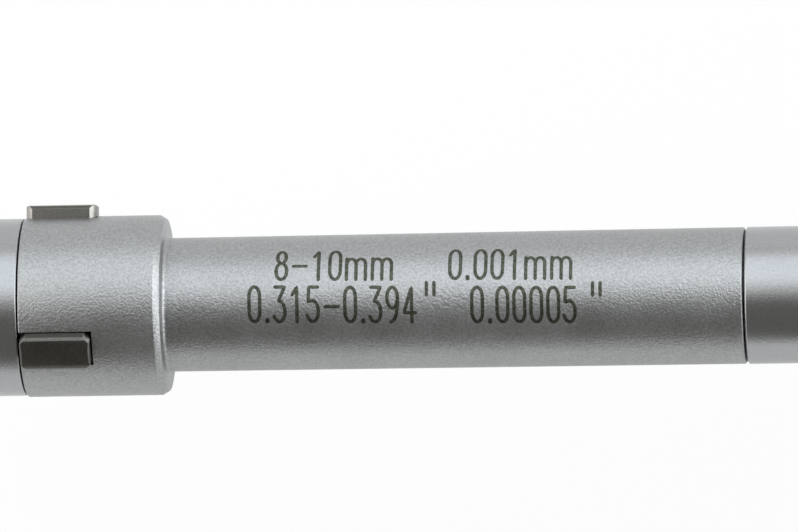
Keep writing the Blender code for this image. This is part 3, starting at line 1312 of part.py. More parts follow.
def make_housing_screws():
    """Four screws from the back, through the tub's posts into the cover's posts."""
    base = HOUSING_SCREW_RECESS
    seat = base + HOUSING_SCREW_HEAD_HEIGHT - PRESS_FIT
    outline = [
        (base, 0.0),
        (base, HOUSING_SCREW_HEAD_RADIUS),
        (seat, HOUSING_SCREW_HEAD_RADIUS),
        (seat, HOUSING_SCREW_RADIUS),
        (base + HOUSING_SCREW_LENGTH, HOUSING_SCREW_RADIUS),
        (base + HOUSING_SCREW_LENGTH, 0.0),
    ]
    reach = 2 * HOUSING_SCREW_HEAD_RADIUS
    for i, place in enumerate(four_corners(POST_X, POST_Y)):
        name = f"housing_screw_{i + 1}"
        screw = add_upright(name, outline, STEEL, place, SMALL)
        low = (-reach, -HOUSING_SCREW_SLOT / 2, -base)
        high = (reach, HOUSING_SCREW_SLOT / 2, base + HOUSING_SCREW_SLOT)
        slot = add_box(f"{name}_slot", low, high, turn=HOUSING_SCREW_TURN * (i + 1))
        slot.location = (*place, 0.0)
        cut(screw, slot)


make_head_body()
make_end_cap()
make_anvils()
make_measuring_cone()
make_push_rod()
make_thrust_ball()
make_rod_guide()
make_stem_tube()
make_nose_collar()
make_barrel()
make_encoder()
make_spindle()
make_sleeve()
make_spindle_nut()
make_thimble()
make_ratchet()
make_housing_back()
make_housing_front()
make_housing_screws()
make_display()
make_circuit_board()
make_buttons()
make_battery()
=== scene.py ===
# Inside micrometer for bores of 8 to 10 mm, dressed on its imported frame
import json
import math
import bmesh
import bpy
from mathutils import Matrix, Vector


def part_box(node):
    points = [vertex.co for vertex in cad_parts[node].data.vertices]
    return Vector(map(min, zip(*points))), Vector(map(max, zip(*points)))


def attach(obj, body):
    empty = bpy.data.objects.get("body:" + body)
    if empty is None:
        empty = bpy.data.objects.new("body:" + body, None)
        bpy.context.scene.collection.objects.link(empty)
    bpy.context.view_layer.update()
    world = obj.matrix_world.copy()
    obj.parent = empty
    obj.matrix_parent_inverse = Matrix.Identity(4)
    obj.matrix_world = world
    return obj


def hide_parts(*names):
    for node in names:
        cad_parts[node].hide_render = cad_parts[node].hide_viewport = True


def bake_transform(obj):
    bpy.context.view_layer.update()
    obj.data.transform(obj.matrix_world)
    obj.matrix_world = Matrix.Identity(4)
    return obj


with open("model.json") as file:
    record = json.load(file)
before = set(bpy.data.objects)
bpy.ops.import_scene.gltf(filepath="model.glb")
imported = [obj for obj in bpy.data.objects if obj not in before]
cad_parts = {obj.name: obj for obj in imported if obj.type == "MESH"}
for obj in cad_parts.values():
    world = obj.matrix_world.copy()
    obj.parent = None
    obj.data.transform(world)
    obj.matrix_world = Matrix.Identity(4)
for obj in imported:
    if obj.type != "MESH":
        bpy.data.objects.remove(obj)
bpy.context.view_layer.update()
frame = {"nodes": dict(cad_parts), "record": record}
nodes = frame["nodes"]
print("frame loaded with", len(nodes), "nodes")

mm = 0.001
samePoint = 0.0002 * mm  # points nearer than this are one

# Stations count millimetres along the measuring axis from the seam behind the end cap
axisHeight = 14.0
seamToOrigin = 99.0


def fromOrigin(station):
    return station - seamToOrigin


def along(station):
    return fromOrigin(station) * mm


# The camera, as the photograph has it: almost straight above, far away through a long lens
cameraSetup = {
    "lens": 496.2,
    "sensor": 36.0,
    "distance": 476.0 * mm,
    "leanToRatchet": 4.9,
    "leanToFront": 1.8,
    "roll": -0.8,
    "station": 16.19,
    "aboveAxis": 1.52 * mm,
    "clip": (0.01, 100.0),
}


def makeCamera(setup):
    right = math.tan(math.radians(setup["leanToRatchet"]))
    front = -math.tan(math.radians(setup["leanToFront"]))
    back = Vector((right, front, 1.0)).normalized()
    across = Vector((0.0, 1.0, 0.0)).cross(back).normalized()
    upward = back.cross(across)
    turned = Matrix.Rotation(math.radians(setup["roll"]), 3, back)
    across, upward = turned @ across, turned @ upward
    target = Vector((along(setup["station"]), setup["aboveAxis"], axisHeight * mm))
    data = bpy.data.cameras.new("camera")
    data.lens = setup["lens"]
    data.sensor_width = setup["sensor"]
    data.clip_start, data.clip_end = setup["clip"]
    camera = bpy.data.objects.new("camera", data)
    turn = Matrix((across, upward, back)).transposed().to_4x4()
    camera.matrix_world = Matrix.Translation(target + back * setup["distance"]) @ turn
    bpy.context.scene.collection.objects.link(camera)
    bpy.context.scene.camera = camera


makeCamera(cameraSetup)
bpy.context.scene.view_settings.view_transform = "Standard"
print("camera placed")


# Small helpers for materials and node trees

def newMaterial(name):
    material = bpy.data.materials.new(name)
    material.use_nodes = True
    tree = material.node_tree
    return material, tree, tree.nodes["Principled BSDF"]


def addNode(tree, kind, **values):
    node = tree.nodes.new(kind)
    for name, value in values.items():
        setattr(node, name, value)
    return node


def setInputs(tree, node, values):
    # Each input gets a number or colour, or a link where its value is another node's socket
    for name, value in values.items():
        if isinstance(value, bpy.types.NodeSocket):
            tree.links.new(value, node.inputs[name])
        else:
            node.inputs[name].default_value = value


def addMath(tree, operation, first, second):
    node = addNode(tree, "ShaderNodeMath", operation=operation)
    setInputs(tree, node, {0: first, 1: second})
    return node.outputs[0]


def addRange(tree, value, fromLow, fromHigh, toLow, toHigh, smooth=False):
    node = addNode(tree, "ShaderNodeMapRange", clamp=True)
    if smooth:
        node.interpolation_type = "SMOOTHSTEP"
    setInputs(tree, node, {
        "Value": value, "From Min": fromLow, "From Max": fromHigh, "To Min": toLow, "To Max": toHigh,
    })
    return node.outputs["Result"]


def addColourMix(tree, share, first, second):
    node = addNode(tree, "ShaderNodeMix", data_type="RGBA")
    colours = [(*value, 1.0) if isinstance(value, tuple) else value for value in (first, second)]
    setInputs(tree, node, {0: share, 6: colours[0], 7: colours[1]})
    return node.outputs[2]


def addNoise(tree, scale, detail=2.0):
    coords = addNode(tree, "ShaderNodeTexCoord")
    noise = addNode(tree, "ShaderNodeTexNoise")
    setInputs(tree, noise, {"Scale": scale, "Detail": detail, "Vector": coords.outputs["Object"]})
    return noise.outputs["Fac"]


def addBump(tree, height, strength, distance):
    bump = addNode(tree, "ShaderNodeBump")
    setInputs(tree, bump, {"Strength": strength, "Distance": distance, "Height": height})
    return bump.outputs["Normal"]


def addSeen(tree, path):
    # One where the camera looks straight at it, or through the window, and else nought
    return addMath(tree, "MAXIMUM", path.outputs["Is Camera Ray"], path.outputs["Is Transmission Ray"])


# The room: a white surround, brighter above the far side and at both ends, dark round the camera

roomSetup = {
    "level": 0.93,
    "lobes": [
        {"towards": (0.0, 0.68, 0.73), "level": 1.75, "tint": (0.94, 1.0, 1.05),
         "reach": (0.80, 0.97), "narrow": 0.6},
        {"towards": (0.88, 0.05, 0.48), "level": 2.85, "tint": (0.97, 1.0, 1.03),
         "reach": (0.62, 0.88), "narrow": 1.0},
        {"towards": (-0.88, 0.05, 0.48), "level": 2.1, "tint": (1.0, 1.0, 0.98),
         "reach": (0.68, 0.90), "narrow": 1.0},
        {"towards": (0.02, -0.67, 0.74), "level": 0.20, "tint": (1.03, 1.0, 0.95),
         "reach": (0.545, 0.88), "narrow": 0.8},
    ],
}


def lobe(tree, direction, setup):
    # A soft-edged patch of the room, drawn out along the measuring axis where narrow is below one
    mapping = addNode(tree, "ShaderNodeMapping")
    mapping.inputs["Scale"].default_value = (setup["narrow"], 1.0, 1.0)
    tree.links.new(direction, mapping.inputs["Vector"])
    unit = addNode(tree, "ShaderNodeVectorMath", operation="NORMALIZE")
    tree.links.new(mapping.outputs["Vector"], unit.inputs[0])
    dot = addNode(tree, "ShaderNodeVectorMath", operation="DOT_PRODUCT")
    tree.links.new(unit.outputs["Vector"], dot.inputs[0])
    dot.inputs[1].default_value = Vector(setup["towards"]).normalized()
    return addRange(tree, dot.outputs["Value"], *setup["reach"], 0.0, 1.0, smooth=True)


def makeRoom(setup):
    world = bpy.data.worlds.new("room")
    world.use_nodes = True
    tree = world.node_tree
    tree.nodes.clear()
    direction = addNode(tree, "ShaderNodeTexCoord").outputs["Generated"]
    light = (setup["level"],) * 3
    for patch in setup["lobes"]:
        glow = tuple(patch["level"] * channel for channel in patch["tint"])
        light = addColourMix(tree, lobe(tree, direction, patch), light, glow)
    studio = addNode(tree, "ShaderNodeBackground")
    tree.links.new(light, studio.inputs["Color"])
    white = addNode(tree, "ShaderNodeBackground")
    white.inputs["Color"].default_value = (1.0, 1.0, 1.0, 1.0)
    path = addNode(tree, "ShaderNodeLightPath")
    chosen = addNode(tree, "ShaderNodeMixShader")
    tree.links.new(addSeen(tree, path), chosen.inputs[0])
    tree.links.new(studio.outputs[0], chosen.inputs[1])
    tree.links.new(white.outputs[0], chosen.inputs[2])
    output = addNode(tree, "ShaderNodeOutputWorld")
    tree.links.new(chosen.outputs[0], output.inputs["Surface"])
    bpy.context.scene.world = world


floorSetup = {
    "size": 60.0,
    "cells": 4,
    "drop": 0.02 * mm,
    "colour": (0.70, 0.70, 0.70),
    "rough": 0.9,
    "specular": 0.1,
    "whiteSeen": 0.92,
    "whiteMirrored": 0.25,
}


def makeFloor(setup):
    bm = bmesh.new()
    cells = setup["cells"]
    bmesh.ops.create_grid(bm, x_segments=cells, y_segments=cells, size=setup["size"] / 2)
    bmesh.ops.translate(bm, vec=(0.0, 0.0, -setup["drop"]), verts=bm.verts)
    mesh = bpy.data.meshes.new("floor")
    bm.to_mesh(mesh)
    bm.free()
    material, tree, shader = newMaterial("paleFloor")
    setInputs(tree, shader, {
        "Base Color": (*setup["colour"], 1.0),
        "Roughness": setup["rough"],
        "Specular IOR Level": setup["specular"],
    })
    path = addNode(tree, "ShaderNodeLightPath")
    seen = addMath(tree, "MULTIPLY", addSeen(tree, path), setup["whiteSeen"])
    mirrored = addMath(tree, "MULTIPLY", path.outputs["Is Glossy Ray"], setup["whiteMirrored"])
    share = addMath(tree, "MAXIMUM", seen, mirrored)
    glow = addNode(tree, "ShaderNodeEmission")
    mix = addNode(tree, "ShaderNodeMixShader")
    tree.links.new(share, mix.inputs[0])
    tree.links.new(shader.outputs[0], mix.inputs[1])
    tree.links.new(glow.outputs[0], mix.inputs[2])
    tree.links.new(mix.outputs[0], tree.nodes["Material Output"].inputs["Surface"])
    mesh.materials.append(material)
    floor = bpy.data.objects.new("floor", mesh)
    bpy.context.scene.collection.objects.link(floor)


lampSetups = [
    {"name": "softKey", "place": (-0.10, 0.55, 0.70), "size": (0.6, 0.45), "power": 1.7},
    {"name": "softFill", "place": (0.40, -0.60, 0.50), "size": (0.8, 0.6), "power": 0.5},
]


def makeLamp(setup):
    data = bpy.data.lights.new(setup["name"], "AREA")
    data.shape = "RECTANGLE"
    data.size, data.size_y = setup["size"]
    data.energy = setup["power"]
    lamp = bpy.data.objects.new(setup["name"], data)
    lamp.location = setup["place"]
    aim = Vector(setup["place"]) - Vector((0.0, 0.0, axisHeight * mm))
    lamp.rotation_euler = aim.to_track_quat("Z", "Y").to_euler()
    lamp.visible_camera = False
    lamp.visible_glossy = False  # the room's own bright patch is what the metal shows
    bpy.context.scene.collection.objects.link(lamp)


makeRoom(roomSetup)
makeFloor(floorSetup)
for lampSetup in lampSetups:
    makeLamp(lampSetup)
print("room, floor and lamps made")


# Finishes: a fine grain and wider patches of noise, each spread over the span given here

grainSpan = (0.36, 0.64)
patchSpan = (0.3, 0.7)
wornSpan = (0.45, 0.8)
smearSpan = (0.4, 0.75)
speckSpan = (0.38, 0.66)
grainToPatch = 22
markDepth = 0.004

metalLooks = {
    "satin_chrome": ((0.348, 0.352, 0.351), (0.34, 0.42), 9500, 0.036, 0.12, 420),
    "smooth_chrome": ((0.37, 0.374, 0.378), (0.21, 0.27), 10000, 0.009, 0.04, 300),
    "anvil_carbide": ((0.112, 0.107, 0.096), (0.28, 0.36), 9000, 0.0010, 0.10, 900),
    # A brighter copy of the carbide: a painted highlight on the anvils' slanted corner facets
    "cornerFacetHighlight": ((0.34, 0.33, 0.31), (0.30, 0.38), 9000, 0.0010, 0.05, 900),
    "steel": ((0.47, 0.47, 0.46), (0.24, 0.36), 9000, 0.0015, 0.06, 400),
    "brass": ((0.60, 0.44, 0.18), (0.26, 0.38), 9000, 0.0015, 0.06, 400),
}


def makeMetal(name, colour, rough, grainScale, depth, contrast, patchScale):
    material, tree, shader = newMaterial(name)
    grain = addNoise(tree, grainScale)
    patches = addNoise(tree, patchScale, 4.0)
    light = tuple(channel * (1 + contrast) for channel in colour)
    dark = tuple(channel * (1 - contrast) for channel in colour)
    setInputs(tree, shader, {
        "Metallic": 1.0,
        "Base Color": addColourMix(tree, addRange(tree, grain, *grainSpan, 0.0, 1.0), dark, light),
        "Roughness": addRange(tree, patches, *patchSpan, *rough),
        "Normal": addBump(tree, grain, strength=0.6, distance=depth * mm),
    })
    return material


plasticLooks = {
    "housing_plastic": ((0.082, 0.086, 0.091), (0.094, 0.098, 0.103), (0.42, 0.52), 3200, 0.012),
    "cap_plastic": ((0.022, 0.022, 0.024), (0.05, 0.05, 0.052), (0.38, 0.52), 3600, 0.010),
    "button_rubber": ((0.035, 0.035, 0.038), (0.06, 0.06, 0.062), (0.55, 0.70), 2600, 0.012),
    "board": ((0.012, 0.085, 0.04), (0.02, 0.12, 0.06), (0.35, 0.5), 1500, 0.006),
}


def makePlastic(name, colour, worn, rough, grainScale, depth):
    material, tree, shader = newMaterial(name)
    grain = addNoise(tree, grainScale, 3.0)
    patches = addNoise(tree, grainScale / grainToPatch, 4.0)
    setInputs(tree, shader, {
        "Base Color": addColourMix(tree, addRange(tree, patches, *wornSpan, 0.0, 1.0), colour, worn),
        "Roughness": addRange(tree, patches, *patchSpan, *rough),
        "Normal": addBump(tree, grain, strength=0.5, distance=depth * mm),
    })
    return material


def makeWindowClear():
    material, tree, shader = newMaterial("clearWindow")
    smears = addNoise(tree, 260, 4.0)
    setInputs(tree, shader, {
        "Base Color": (0.96, 0.98, 0.97, 1.0),
        "Transmission Weight": 1.0,
        "IOR": 1.45,
        "Roughness": addRange(tree, smears, *smearSpan, 0.02, 0.07),
    })
    return material


def makePanelGrey():
    material, tree, shader = newMaterial("displayGrey")
    share = addRange(tree, addNoise(tree, 90), *patchSpan, 0.0, 1.0)
    setInputs(tree, shader, {
        "Base Color": addColourMix(tree, share, (0.36, 0.39, 0.32), (0.40, 0.43, 0.36)),
        "Roughness": 0.35,
    })
    return material


def makeInk(name, dark, light, rough, speck=9000, metallic=0.0):
    # Etched or printed marks, a little uneven
    material, tree, shader = newMaterial(name)
    speckle = addNoise(tree, speck)
    setInputs(tree, shader, {
        "Base Color": addColourMix(tree, addRange(tree, speckle, *speckSpan, 0.0, 1.0), dark, light),
        "Roughness": rough,
        "Metallic": metallic,
        "Specular IOR Level": 0.3,
        "Normal": addBump(tree, speckle, strength=0.5, distance=markDepth * mm),
    })
    return material


finishes = {name: makeMetal(name, *look) for name, look in metalLooks.items()}
finishes.update({name: makePlastic(name, *look) for name, look in plasticLooks.items()})
finishes["window"] = makeWindowClear()
finishes["display_panel"] = makePanelGrey()
etchedInk = makeInk("etchedMarks", (0.048, 0.052, 0.040), (0.105, 0.112, 0.086), 0.42, metallic=1.0)
scaleInk = makeInk("scaleMarks", (0.015, 0.015, 0.016), (0.04, 0.04, 0.042), 0.5)
labelInk = makeInk("labelPrint", (0.62, 0.63, 0.63), (0.72, 0.73, 0.73), 0.5, 4000)
segmentInk = makeInk("displaySegments", (0.018, 0.020, 0.016), (0.03, 0.032, 0.026), 0.4, 2000)
print("finishes made")

# Every node keeps a finish of its own slot, also where a finer piece stands for it
slotNodes = {
    "satin_chrome": ["head_body", "nose_collar", "thimble", "ratchet_knob"],
    "smooth_chrome": ["end_cap", "stem_tube", "sleeve"],
    "anvil_carbide": ["anvil_1", "anvil_2", "anvil_3"],
    "brass": ["rod_guide_bush", "rotor_disc", "rotor_bearing", "spindle_nut", "battery_contact"],
    "housing_plastic": ["housing_back", "housing_front"],
    "cap_plastic": ["battery_cap"],
    "button_rubber": ["button_1", "button_2", "button_3"],
    "window": ["lcd_window"],
    "display_panel": ["lcd_panel"],
    "board": ["circuit_board", "stator_disc"],
}
slotOf = {node: slot for slot, names in slotNodes.items() for node in names}
for nodeName, node in nodes.items():
    slotOf.setdefault(nodeName, "steel")
    node.data.materials.clear()
    node.data.materials.append(finishes[slotOf[nodeName]])
bodyOf = {node: body for body, names in frame["record"]["behaviour"]["bodies"].items() for node in names}


# Shared ways of making a piece

def meshFrom(bm, name):
    mesh = bpy.data.meshes.new(name)
    bm.to_mesh(mesh)
    bm.free()
    return mesh


scratch = bpy.data.meshes.new("scratch")


def merge(target, bm):
    bm.to_mesh(scratch)
    bm.free()
    target.from_mesh(scratch)


def looseObject(bm, name):
    thing = bpy.data.objects.new(name, meshFrom(bm, name))
    bpy.context.scene.collection.objects.link(thing)
    return thing


def evaluated(thing):
    graph = bpy.context.evaluated_depsgraph_get()
    made = bpy.data.meshes.new_from_object(thing.evaluated_get(graph))
    bm = bmesh.new()
    bm.from_mesh(made)
    bpy.data.meshes.remove(made)
    return bm


def carve(bm, tools, operation="DIFFERENCE"):
    body, tool = looseObject(bm, "body"), looseObject(tools, "tool")
    modifier = body.modifiers.new("carve", "BOOLEAN")
    modifier.operation = operation
    modifier.solver = "EXACT"
    modifier.object = tool
    carved = evaluated(body)
    for thing in (body, tool):
        bpy.data.objects.remove(thing)
    bmesh.ops.remove_doubles(carved, verts=carved.verts, dist=samePoint)
    bmesh.ops.dissolve_limit(
        carved, angle_limit=math.radians(0.05), verts=carved.verts, edges=carved.edges
    )
    return carved


def bevelEdges(bm, edges, width, segments=2):
    if edges:
        bmesh.ops.bevel(
            bm, geom=edges, offset=width * mm, offset_type="OFFSET", segments=segments, profile=0.5,
            affect="EDGES", clamp_overlap=True, material=-1,
        )


def sharpEdges(bm, angle=30.0, test=None):
    limit = math.radians(angle)
    return [
        edge for edge in bm.edges
        if len(edge.link_faces) == 2 and edge.calc_face_angle(0.0) > limit and (test is None or test(edge))
    ]


def finishPiece(name, bm, finish, body, slotName, replaced=(), crease=33.0):
    bmesh.ops.remove_doubles(bm, verts=bm.verts, dist=samePoint)
    bmesh.ops.recalc_face_normals(bm, faces=bm.faces)
    for face in bm.faces:
        face.smooth = True
    limit = math.radians(crease)
    for edge in bm.edges:
        edge.smooth = len(edge.link_faces) == 2 and edge.calc_face_angle(0.0) < limit
    piece = looseObject(bm, name)
    piece.data.materials.append(finish)
    if body:
        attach(piece, body)
    if replaced:
        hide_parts(*replaced)
    return piece


def dress(node, bm, name, **more):
    # A finer piece in the place of a node
    slotName = slotOf[node]
    return finishPiece(name, bm, finishes[slotName], bodyOf[node], slotName, [node], **more)


def turnOutline(outline, steps, closed=False, rim=0.0, centre=(0.0, axisHeight), upright=False):
    # A lathe shape from (station, radius) points along the measuring axis, or (height, radius) ones
    # where it stands upright; its centre is (y, z) or (x, y)
    bm = bmesh.new()
    if upright:
        x, y = centre[0] * mm, centre[1] * mm
        points = [Vector((x + r * mm, y, s * mm)) for s, r in outline]
        axis, middle = (0.0, 0.0, 1.0), (x, y, 0.0)
    else:
        y, z = centre[0] * mm, centre[1] * mm
        points = [Vector((along(s), y, z + r * mm)) for s, r in outline]
        axis, middle = (1.0, 0.0, 0.0), (0.0, y, z)
    verts = [bm.verts.new(point) for point in points]
    edges = [bm.edges.new(pair) for pair in zip(verts, verts[1:])]
    if closed:
        edges.append(bm.edges.new((verts[-1], verts[0])))
    bmesh.ops.spin(
        bm, geom=verts + edges, cent=middle, axis=axis, angle=math.tau, steps=steps, use_merge=True
    )
    bmesh.ops.remove_doubles(bm, verts=bm.verts, dist=samePoint)
    bmesh.ops.recalc_face_normals(bm, faces=bm.faces)
    if rim:
        bevelEdges(bm, sharpEdges(bm, 24.0), rim)
    return bm


def addBlock(bm, low, high):
    made = bmesh.ops.create_cube(bm, size=1.0)["verts"]
    low, high = Vector(low) * mm, Vector(high) * mm
    bmesh.ops.scale(bm, vec=high - low, verts=made)
    bmesh.ops.translate(bm, vec=(low + high) / 2, verts=made)
    return made


def turnAbout(bm, verts, angle, axis="X", centre=(0.0, 0.0, axisHeight * mm)):
    bmesh.ops.rotate(bm, cent=centre, matrix=Matrix.Rotation(angle, 3, axis), verts=verts)


def slotTool(slot, y, z, turn):
    # A driver's slot across a screw that lies along the measuring axis
    tools = bmesh.new()
    made = addBlock(
        tools, (fromOrigin(slot["from"]), y - slot["half"], z - slot["reach"]),
        (fromOrigin(slot["to"]), y + slot["half"], z + slot["reach"]),
    )
    turnAbout(tools, made, turn, centre=(0.0, y * mm, z * mm))
    return tools


def slotAngle(index):
    # Measured from the display's direction towards the far side; the first slot points there
    return math.radians(90 - 120 * index)


# Head and neck, turned in one piece, with three slots for the anvils

headSetup = {
    "steps": 144,
    "headRadius": 3.90,
    "neckRadius": 2.895,
    "neckEndRadius": 2.95,
    "headEnd": 5.85,
    "shoulder": 6.13,
    "shoulderRadius": 3.73,
    "fillet": 0.19,
    "filletSteps": 6,
    "neckEnd": 31.2,
    "frontEdge": 0.04,
    "backEdge": 0.06,
    "bore": [(31.2, 2.19), (27.22, 2.19), (27.22, 1.3), (5.61, 1.3), (5.61, 2.035), (0.0, 2.035)],
    "slot": {"from": -3.0, "to": 3.17, "half": 0.82, "depth": 7.0},
    "rim": 0.018,
}


def headOutline(setup):
    fillet, steps = setup["fillet"], setup["filletSteps"]
    frontEdge, backEdge = setup["frontEdge"], setup["backEdge"]
    outside = [
        (0.0, setup["headRadius"] - frontEdge),
        (frontEdge, setup["headRadius"]),
        (setup["headEnd"], setup["headRadius"]),
        (setup["shoulder"], setup["shoulderRadius"]),
    ]
    for step in range(steps + 1):
        angle = math.pi / 2 * step / steps
        outside.append((
            setup["shoulder"] + fillet * (1 - math.cos(angle)),
            setup["neckRadius"] + fillet * (1 - math.sin(angle)),
        ))
    outside += [
        (setup["neckEnd"] - backEdge, setup["neckEndRadius"]),
        (setup["neckEnd"], setup["neckEndRadius"] - backEdge),
    ]
    return outside + setup["bore"]


def makeHead(setup):
    bm = turnOutline(headOutline(setup), setup["steps"], closed=True, rim=setup["rim"])
    slot = setup["slot"]
    low = (fromOrigin(slot["from"]), -slot["half"], axisHeight)
    high = (fromOrigin(slot["to"]), slot["half"], axisHeight + slot["depth"])
    tools = bmesh.new()
    for index in range(3):
        turnAbout(tools, addBlock(tools, low, high), -slotAngle(index))
    bm = carve(bm, tools)
    dress("head_body", bm, "headAndNeck")


makeHead(headSetup)
print("head and neck made")

# End cap with its three screws

capSetup = {
    "steps": 144,
    "outline": [(-2.40, 0.0), (-2.40, 3.44), (-2.0, 3.84), (-0.10, 3.84), (-0.06, 3.80), (-0.06, 2.3),
                (-1.87, 1.4), (-1.87, 0.0)],
    "rim": 0.03,
    "circle": 2.75,
    "hole": [(-4.0, 0.0), (-4.0, 0.65), (-1.98, 0.65), (-1.98, 0.39), (1.0, 0.39), (1.0, 0.0)],
    "holeSteps": 32,
    "screw": [(-2.34, 0.0), (-2.34, 0.62), (-2.01, 0.62), (-2.01, 0.36), (2.2, 0.36), (2.2, 0.0)],
    "screwSteps": 40,
    "screwRim": 0.04,
    "slot": {"from": -4.0, "to": -2.13, "half": 0.11, "reach": 1.3},
    "slotTurns": (-0.4, -1.4, -2.4),
}


def screwPlace(index, circle):
    # The screws sit between the slots
    angle = slotAngle(index) + math.radians(60)
    return circle * math.sin(angle), axisHeight + circle * math.cos(angle)


def makeCap(setup):
    bm = turnOutline(setup["outline"], setup["steps"], rim=setup["rim"])
    tools = bmesh.new()
    for index in range(3):
        place = screwPlace(index, setup["circle"])
        merge(tools, turnOutline(setup["hole"], setup["holeSteps"], centre=place))
    dress("end_cap", carve(bm, tools), "endCap")


def makeCapScrews(setup):
    for index, turn in enumerate(setup["slotTurns"]):
        place = screwPlace(index, setup["circle"])
        bm = turnOutline(setup["screw"], setup["screwSteps"], rim=setup["screwRim"], centre=place)
        bm = carve(bm, slotTool(setup["slot"], *place, turn))
        dress(f"cap_screw_{index + 1}", bm, f"capScrew{index + 1}")


makeCap(capSetup)
makeCapScrews(capSetup)
print("end cap and its screws made")

# Anvils: ground bars with a cylindrical face, broken edges and chamfered corners

anvilSetup = {
    "start": 0.06,
    "end": 3.11,
    "width": 1.57,
    "corner": 0.27,
    "break": 0.022,
    "slanting": 0.3,
    "facets": 0.3,
    "sharp": 28.0,
}


def cutCorners(bm, setup, across):
    # The four upright corners, ground flat across
    for station, endways in ((setup["start"], -1), (setup["end"], 1)):
        for sideways in (-1, 1):
            normal = (Vector((endways, 0.0, 0.0)) + across * sideways).normalized()
            place = Vector((along(station), 0.0, axisHeight * mm))
            place += across * sideways * setup["width"] / 2 * mm
            place -= normal * setup["corner"] / math.sqrt(2) * mm
            cut = bmesh.ops.bisect_plane(
                bm, geom=bm.verts[:] + bm.edges[:] + bm.faces[:], dist=samePoint,
                plane_co=place, plane_no=normal, clear_outer=True,
            )
            rim = [part for part in cut["geom_cut"] if isinstance(part, bmesh.types.BMEdge)]
            bmesh.ops.holes_fill(bm, edges=rim, sides=0)


def makeAnvils(setup):
    for index in range(3):
        node = f"anvil_{index + 1}"
        bm = bmesh.new()
        bm.from_mesh(nodes[node].data)
        bmesh.ops.remove_doubles(bm, verts=bm.verts, dist=samePoint)
        bmesh.ops.dissolve_limit(
            bm, angle_limit=math.radians(setup["facets"]), verts=bm.verts, edges=bm.edges
        )
        turn = slotAngle(index)
        across = Vector((0.0, math.cos(turn), -math.sin(turn)))
        cutCorners(bm, setup, across)
        bevelEdges(bm, sharpEdges(bm, setup["sharp"]), setup["break"])
        # The slanted corner facets take the brighter copy of the carbide, a painted highlight
        for face in bm.faces:
            endways, sideways = abs(face.normal.x), abs(face.normal.dot(across))
            if endways > setup["slanting"] and sideways > setup["slanting"]:
                face.material_index = 1
        piece = dress(node, bm, f"anvil{index + 1}", crease=20.0)
        piece.data.materials.append(finishes["cornerFacetHighlight"])


makeAnvils(anvilSetup)
print("anvils made")

# Numerals and lines cut or printed on a round surface, drawn as single strokes

glyphSetup = {"width": 0.46, "stroke": 0.187, "pitch": 0.73}
advances = {".": 0.36, "-": 0.86, "m": 1.12, '"': 0.6}
markSetup = {"slot": "anvil_carbide", "sink": 0.003, "thickness": 0.016, "bevelSteps": 1, "same": 0.0005}


def bow(cx, cy, rx, ry, start, end, count=14):
    # Points on part of an oval, from start to end in degrees
    steps = [math.radians(start + (end - start) * i / count) for i in range(count + 1)]
    return [(cx + rx * math.cos(a), cy + ry * math.sin(a)) for a in steps]


glyphs = {
    "0": [bow(0.5, 0.72, 0.5, 0.28, 0, 180) + bow(0.5, 0.28, 0.5, 0.28, 180, 360) + [(1.0, 0.72)]],
    "1": [[(0.13, 0.79), (0.53, 1.0), (0.53, 0.0)]],
    "2": [bow(0.5, 0.74, 0.48, 0.26, 175, -22) + [(0.02, 0.0), (1.0, 0.0)]],
    "3": [[(0.1, 1.0), (0.98, 1.0), (0.4, 0.6)] + bow(0.45, 0.3, 0.55, 0.3, 88, -150)],
    "4": [[(1.05, 0.27), (0.0, 0.27), (0.72, 1.0), (0.72, 0.0)]],
    "5": [[(0.88, 1.0), (0.08, 1.0), (0.02, 0.58)] + bow(0.41, 0.31, 0.55, 0.31, 112, -158)],
    "8": [bow(0.5, 0.77, 0.40, 0.23, -90, 270, 20), bow(0.5, 0.27, 0.5, 0.27, 90, 450, 24)],
    "9": [bow(0.5, 0.7, 0.5, 0.3, 0, 360, 24),
          [(1.0, 0.7), (0.98, 0.48), (0.84, 0.2), (0.62, 0.05), (0.35, 0.0)]],
    "m": [[(0.0, 0.0), (0.0, 0.69)], bow(0.445, 0.48, 0.445, 0.21, 180, 0) + [(0.89, 0.0)],
          bow(1.335, 0.48, 0.445, 0.21, 180, 0) + [(1.78, 0.0)]],
    ".": [[(0.06, 0.0), (0.06, 0.05)], [(0.14, 0.0), (0.14, 0.05)]],
    "-": [[(0.05, 0.44), (1.21, 0.44)]],
    '"': [[(0.09, 1.125), (0.09, 0.78)], [(0.80, 1.125), (0.80, 0.78)]],
}


def strokesOf(text, start, base, height, size=1.0, lean=0.0):
    # Centre lines in millimetres: along the axis, and upwards round the surface
    made = []
    at = start
    half = glyphSetup["stroke"] * size / 2
    for letter in text:
        for stroke in glyphs[letter]:
            points = []
            for x, y in stroke:
                s = at + half + x * glyphSetup["width"] * size
                points.append((s, base + lean * (s - start) + half + y * (height - 2 * half)))
            made.append(points)
        at += advances.get(letter, glyphSetup["pitch"]) * size
    return made


def denser(points, step=0.08):
    # More points along the straight parts, so that they follow the round surface
    made = [points[0]]
    for start, end in zip(points, points[1:]):
        count = max(1, math.ceil(math.dist(start, end) / step))
        made += [tuple(a + (b - a) * i / count for a, b in zip(start, end)) for i in range(1, count + 1)]
    return made


def withRoundEnds(points, half):
    # The open ends run on by half a stroke and close in a round, as (point, share of the width)
    made = [(point, 1.0) for point in points]
    for end, inner, place in ((points[0], points[1], 0), (points[-1], points[-2], None)):
        length = math.dist(end, inner)
        ahead = [(a - b) / length * half for a, b in zip(end, inner)]
        for reach in (0.5, 0.85, 0.99):
            tip = tuple(a + step * reach for a, step in zip(end, ahead))
            made.insert(len(made) if place is None else 0, (tip, math.sqrt(1 - reach * reach)))
    return made


